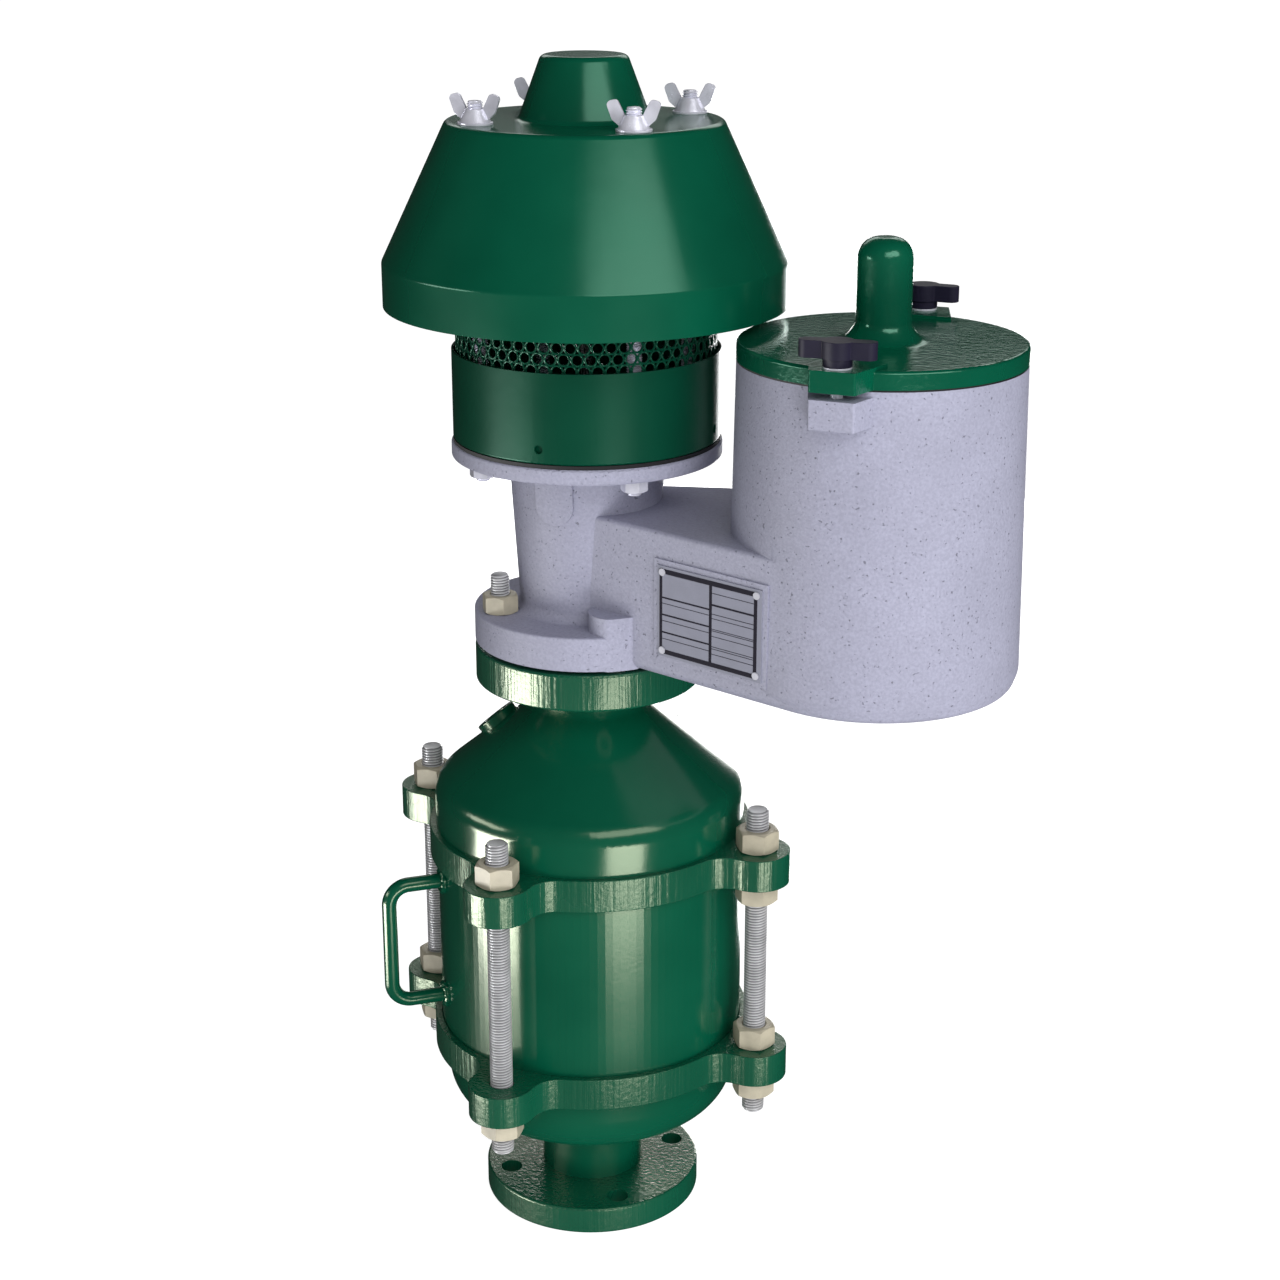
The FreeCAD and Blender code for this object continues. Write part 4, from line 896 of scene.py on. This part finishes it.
class BREATHER_OT_line_fasteners(bpy.types.Operator):
    """Cut the line studs and their nuts and round the cap screws"""

    bl_idname = "breather.line_fasteners"
    bl_label = "Line fasteners"

    def execute(self, context):
        pitch = context.scene.breather.sizes.line_pitch
        spots = round_spots(BOLT_CIRCLE, 4, LINE_STUD_TURN)[1:3]
        low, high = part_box("line_studs")
        bar = thread(LINE_STUD_R, pitch, high.z - low.z, steps=20)
        form = repeated(bar, rod_places(spots, low.z))
        finished(form, "line_studs_cut", "stud", ["line_studs"], sharp=50.0)
        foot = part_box("line_nuts")[0].z
        places = [(x, y, foot, turn + LINE_NUT_TURN) for x, y, turn in spots]
        form = repeated(nut(*LINE_NUT), places)
        finished(form, "line_nuts_cut", "nut", ["line_nuts"], sharp=20.0)
        softened("line_screws", "bolt", SCREW_EDGE)
        return {"FINISHED"}


class BREATHER_OT_rating_plate(bpy.types.Operator):
    """Dress the rating plate with its ruled cells, left empty, and its four screws"""

    bl_idname = "breather.rating_plate"
    bl_label = "Rating plate"

    def execute(self, context):
        softened("name_plate", "plate")
        softened("plate_screws", "screw", SCREW_EDGE)
        whole = bmesh.new()
        for left, foot, right, top in plate_rules():
            form = bmesh.new()
            bmesh.ops.create_cube(form, size=1.0)
            wide, tall = (right - left) * PLATE_LENGTH, (top - foot) * PLATE_HEIGHT
            bmesh.ops.scale(form, vec=(wide, INK_DEPTH, tall), verts=form.verts)
            middle = (left + right) / 2.0 * PLATE_LENGTH
            at = (middle, -INK_DEPTH / 2.0, (foot + top) / 2.0 * PLATE_HEIGHT)
            bmesh.ops.translate(form, vec=at, verts=form.verts)
            join(whole, form)
        bmesh.ops.transform(whole, matrix=plate_frame(), verts=whole.verts)
        finished(whole, "plate_rules", "ink", [], "valve_frame")
        return {"FINISHED"}


def plate_rules():
    """The plate's ruled lines as left, foot, right and top, in parts of its length and height."""
    edge_left, edge_foot, edge_right, edge_top = 0.02, 0.03, 0.958, 0.97
    left, foot, right, head = 0.046, 0.079, 0.927, 0.917
    bar_left, bar_right = 0.504, 0.530
    heavy, fine = 0.017, 0.006
    rules = [
        (edge_left, edge_foot, left, edge_top), (right, edge_foot, edge_right, edge_top),
        (bar_left, foot, bar_right, head),
        (edge_left, edge_foot, edge_right, foot), (edge_left, head, edge_right, edge_top),
    ]
    rules += [(left, level, bar_left, level + heavy) for level in (0.646, 0.457, 0.263)]
    rules += [(left, level, bar_left, level + fine) for level in (0.588, 0.395, 0.196)]
    rules.append((bar_right, 0.702, right, 0.722))
    for level in (0.836, 0.610, 0.561, 0.445, 0.427, 0.366, 0.252, 0.229, 0.170):
        rules.append((bar_right, level, right, level + fine))
    return rules


def plate_frame():
    """Where the lower left corner of the plate's face lies, on the duct's front."""
    lean = math.asin((DUCT_LARGE_R - DUCT_SMALL_R) / CHAMBER_X)
    corner = Matrix.Translation((PLATE_ALONG, -(PLATE_PAD + PLATE_THICK), PLATE_RISE))
    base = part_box("valve_body")[0].z
    place = Vector((-DUCT_SMALL_R * math.sin(lean), -DUCT_SMALL_R * math.cos(lean), base))
    return Matrix.Translation(place) @ Matrix.Rotation(-lean, 4, "Z") @ corner


class BREATHER_OT_discharge(bpy.types.Operator):
    """Dress the drum and perforate the discharge screen"""

    bl_idname = "breather.discharge"
    bl_label = "Drum and screen"

    def execute(self, context):
        sizes = context.scene.breather.sizes
        softened("drum", "drum", SHEET_EDGE)
        softened("drum_gasket", "gasket")
        low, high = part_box("discharge_screen")
        radius = high.x
        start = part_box("drum")[1].z - SCREEN_SINK
        # The screen takes the drum's darkened enamel, so the painted shade also darkens the screen
        # and what shows through its holes.
        finished(
            perforated(radius, start, high.z, sizes.screen_columns, sizes.screen_hole),
            "screen_sheet", "drum", ["discharge_screen"], sharp=40.0, solidify=SHEET_WALL,
        )
        inner = radius - SHEET_WALL
        band = spun([(radius, low.z), (radius, start), (inner, start), (inner, low.z)], steps=96)
        finished(band, "screen_foot", "drum", [], "valve_frame")
        return {"FINISHED"}


def perforated(radius, low, high, columns, hole):
    """Sheet with staggered round holes, bent to a cylinder."""
    pitch = FULL_TURN * radius / columns
    rise = pitch * math.sqrt(3.0) / 2.0
    cell = bmesh.new()
    made = bmesh.ops.create_circle(cell, cap_ends=True, segments=6, radius=pitch / math.sqrt(3.0))
    bmesh.ops.rotate(cell, matrix=Matrix.Rotation(math.radians(30.0), 3, "Z"), verts=made["verts"])
    middle = list(cell.faces)
    margin, within, merge = pitch * 0.1, pitch * 0.49, 0.02 * MM
    bmesh.ops.inset_individual(cell, faces=middle, thickness=margin, use_even_offset=True)
    inner = list(middle[0].edges)
    bmesh.ops.delete(cell, geom=middle, context="FACES_ONLY")
    bmesh.ops.subdivide_edges(cell, edges=inner, cuts=1)
    for vert in cell.verts:
        if vert.co.length < within:
            vert.co = vert.co.normalized() * hole / 2.0
    places = []
    for row in range(int((high - low) / rise) + 2):
        shift = pitch / 2.0 * (row % 2)
        level = low + rise * row
        places += [(pitch * column + shift, level, 0.0, 0.0) for column in range(columns)]
    sheet = repeated(cell, places)
    bmesh.ops.remove_doubles(sheet, verts=sheet.verts, dist=merge)
    for height, side in ((low, -1.0), (high, 1.0)):
        geom = list(sheet.verts) + list(sheet.edges) + list(sheet.faces)
        bmesh.ops.bisect_plane(
            sheet, geom=geom, plane_co=(0, height, 0), plane_no=(0, side, 0), clear_outer=True
        )
    for vert in sheet.verts:
        angle = vert.co.x / radius
        vert.co = Vector((radius * math.cos(angle), radius * math.sin(angle), vert.co.y))
    bmesh.ops.remove_doubles(sheet, verts=sheet.verts, dist=merge)
    return sheet


class BREATHER_OT_hood(bpy.types.Operator):
    """Dress the weather hood, its inner guide and its washers"""

    bl_idname = "breather.hood"
    bl_label = "Hood"

    def execute(self, context):
        softened("hood", "hood", SHEET_EDGE)
        softened("hood_guide", "trim")
        softened("hood_washers", "wing", TRIM_EDGE)
        return {"FINISHED"}


class BREATHER_OT_hood_fasteners(bpy.types.Operator):
    """Cut the hood's studs and nuts and round its wing nuts"""

    bl_idname = "breather.hood_fasteners"
    bl_label = "Hood fasteners"

    def execute(self, context):
        pitch = context.scene.breather.sizes.hood_pitch
        spots = round_spots(HOOD_CIRCLE, 4, HOOD_STUD_TURN)
        low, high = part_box("hood_studs")
        bar = thread(HOOD_STUD_R, pitch, high.z - low.z, steps=16)
        form = repeated(bar, rod_places(spots, low.z))
        finished(form, "hood_studs_cut", "wing", ["hood_studs"], sharp=50.0)
        low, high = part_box("hood_nuts")
        levels = (low.z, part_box("drum")[0].z + DRUM_FLOOR, high.z - HOOD_NUT[1])
        places = [(x, y, z, HOOD_NUT_TURN) for z in levels for x, y, _ in spots]
        form = repeated(nut(*HOOD_NUT), places)
        finished(form, "hood_nuts_cut", "wing", ["hood_nuts"], sharp=20.0)
        for number in range(1, 5):
            softened(f"wing_nut_{number}", "wing", WING_EDGE, steps=3, sharp=30.0)
        return {"FINISHED"}


class BREATHER_OT_trim(bpy.types.Operator):
    """Dress the seats, pallets, stems, weights and soft discs"""

    bl_idname = "breather.trim"
    bl_label = "Seats and pallets"

    def execute(self, context):
        for side in ("pressure", "vacuum"):
            for part in ("seat", "pallet", "stem", "weights"):
                softened(f"{side}_{part}", "trim", 0.0 if part == "seat" else TRIM_EDGE)
            softened(f"{side}_diaphragm", "disc")
        return {"FINISHED"}


class BREATHER_OT_cover(bpy.types.Operator):
    """Dress the vacuum cover, its studs and its knobs"""

    bl_idname = "breather.cover"
    bl_label = "Vacuum cover"

    def execute(self, context):
        softened("vacuum_cover", "cover", context.scene.breather.sizes.cut_edge)
        softened("cover_gasket", "gasket")
        softened("cover_studs", "wing")
        softened("knob_washers", "wing", THIN_WASHER_EDGE)
        for number in (1, 2):
            softened(f"t_knob_{number}", "knob", KNOB_EDGE, steps=3, sharp=30.0)
        return {"FINISHED"}


class BREATHER_OT_inlet_screen(bpy.types.Operator):
    """Dress the screen under the vacuum inlet, its ring and its screws"""

    bl_idname = "breather.inlet_screen"
    bl_label = "Inlet screen"

    def execute(self, context):
        softened("inlet_screen", "trim")
        softened("screen_ring", "trim", TRIM_EDGE)
        softened("screen_screws", "wing", SMALL_SCREW_EDGE)
        return {"FINISHED"}


OPERATORS = (
    BREATHER_OT_stage,
    BREATHER_OT_shell,
    BREATHER_OT_welds,
    BREATHER_OT_tie_fasteners,
    BREATHER_OT_flame_bank,
    BREATHER_OT_valve_body,
    BREATHER_OT_line_fasteners,
    BREATHER_OT_rating_plate,
    BREATHER_OT_discharge,
    BREATHER_OT_hood,
    BREATHER_OT_hood_fasteners,
    BREATHER_OT_trim,
    BREATHER_OT_cover,
    BREATHER_OT_inlet_screen,
)


class BREATHER_PT_panel(bpy.types.Panel):
    """The sidebar's list of settings and pieces"""

    bl_idname = "BREATHER_PT_panel"
    bl_label = "Breather valve"
    bl_space_type = "VIEW_3D"
    bl_region_type = "UI"
    bl_category = "Breather"

    def draw(self, context):
        settings = context.scene.breather
        for group in (settings.colours, settings.sizes, settings.studio):
            box = self.layout.box()
            for name in group.__annotations__:
                box.prop(group, name)
        for operator in OPERATORS:
            self.layout.operator(operator.bl_idname)


GROUPS = (FinishColours, PieceSizes, StageSettings, BreatherSettings)
CLASSES = GROUPS + OPERATORS + (BREATHER_PT_panel,)


def register():
    """Make the settings, the operators and the panel known to Blender."""
    for entry in CLASSES:
        bpy.utils.register_class(entry)
    bpy.types.Scene.breather = PointerProperty(type=BreatherSettings)


def unregister():
    """Take them away again."""
    del bpy.types.Scene.breather
    for entry in reversed(CLASSES):
        bpy.utils.unregister_class(entry)


def main():
    """Build every piece in order."""
    register()
    make_finishes(bpy.context.scene.breather.colours)
    for operator in OPERATORS:
        group, name = operator.bl_idname.split(".")
        getattr(getattr(bpy.ops, group), name)()


if __name__ == "__main__":
    main()
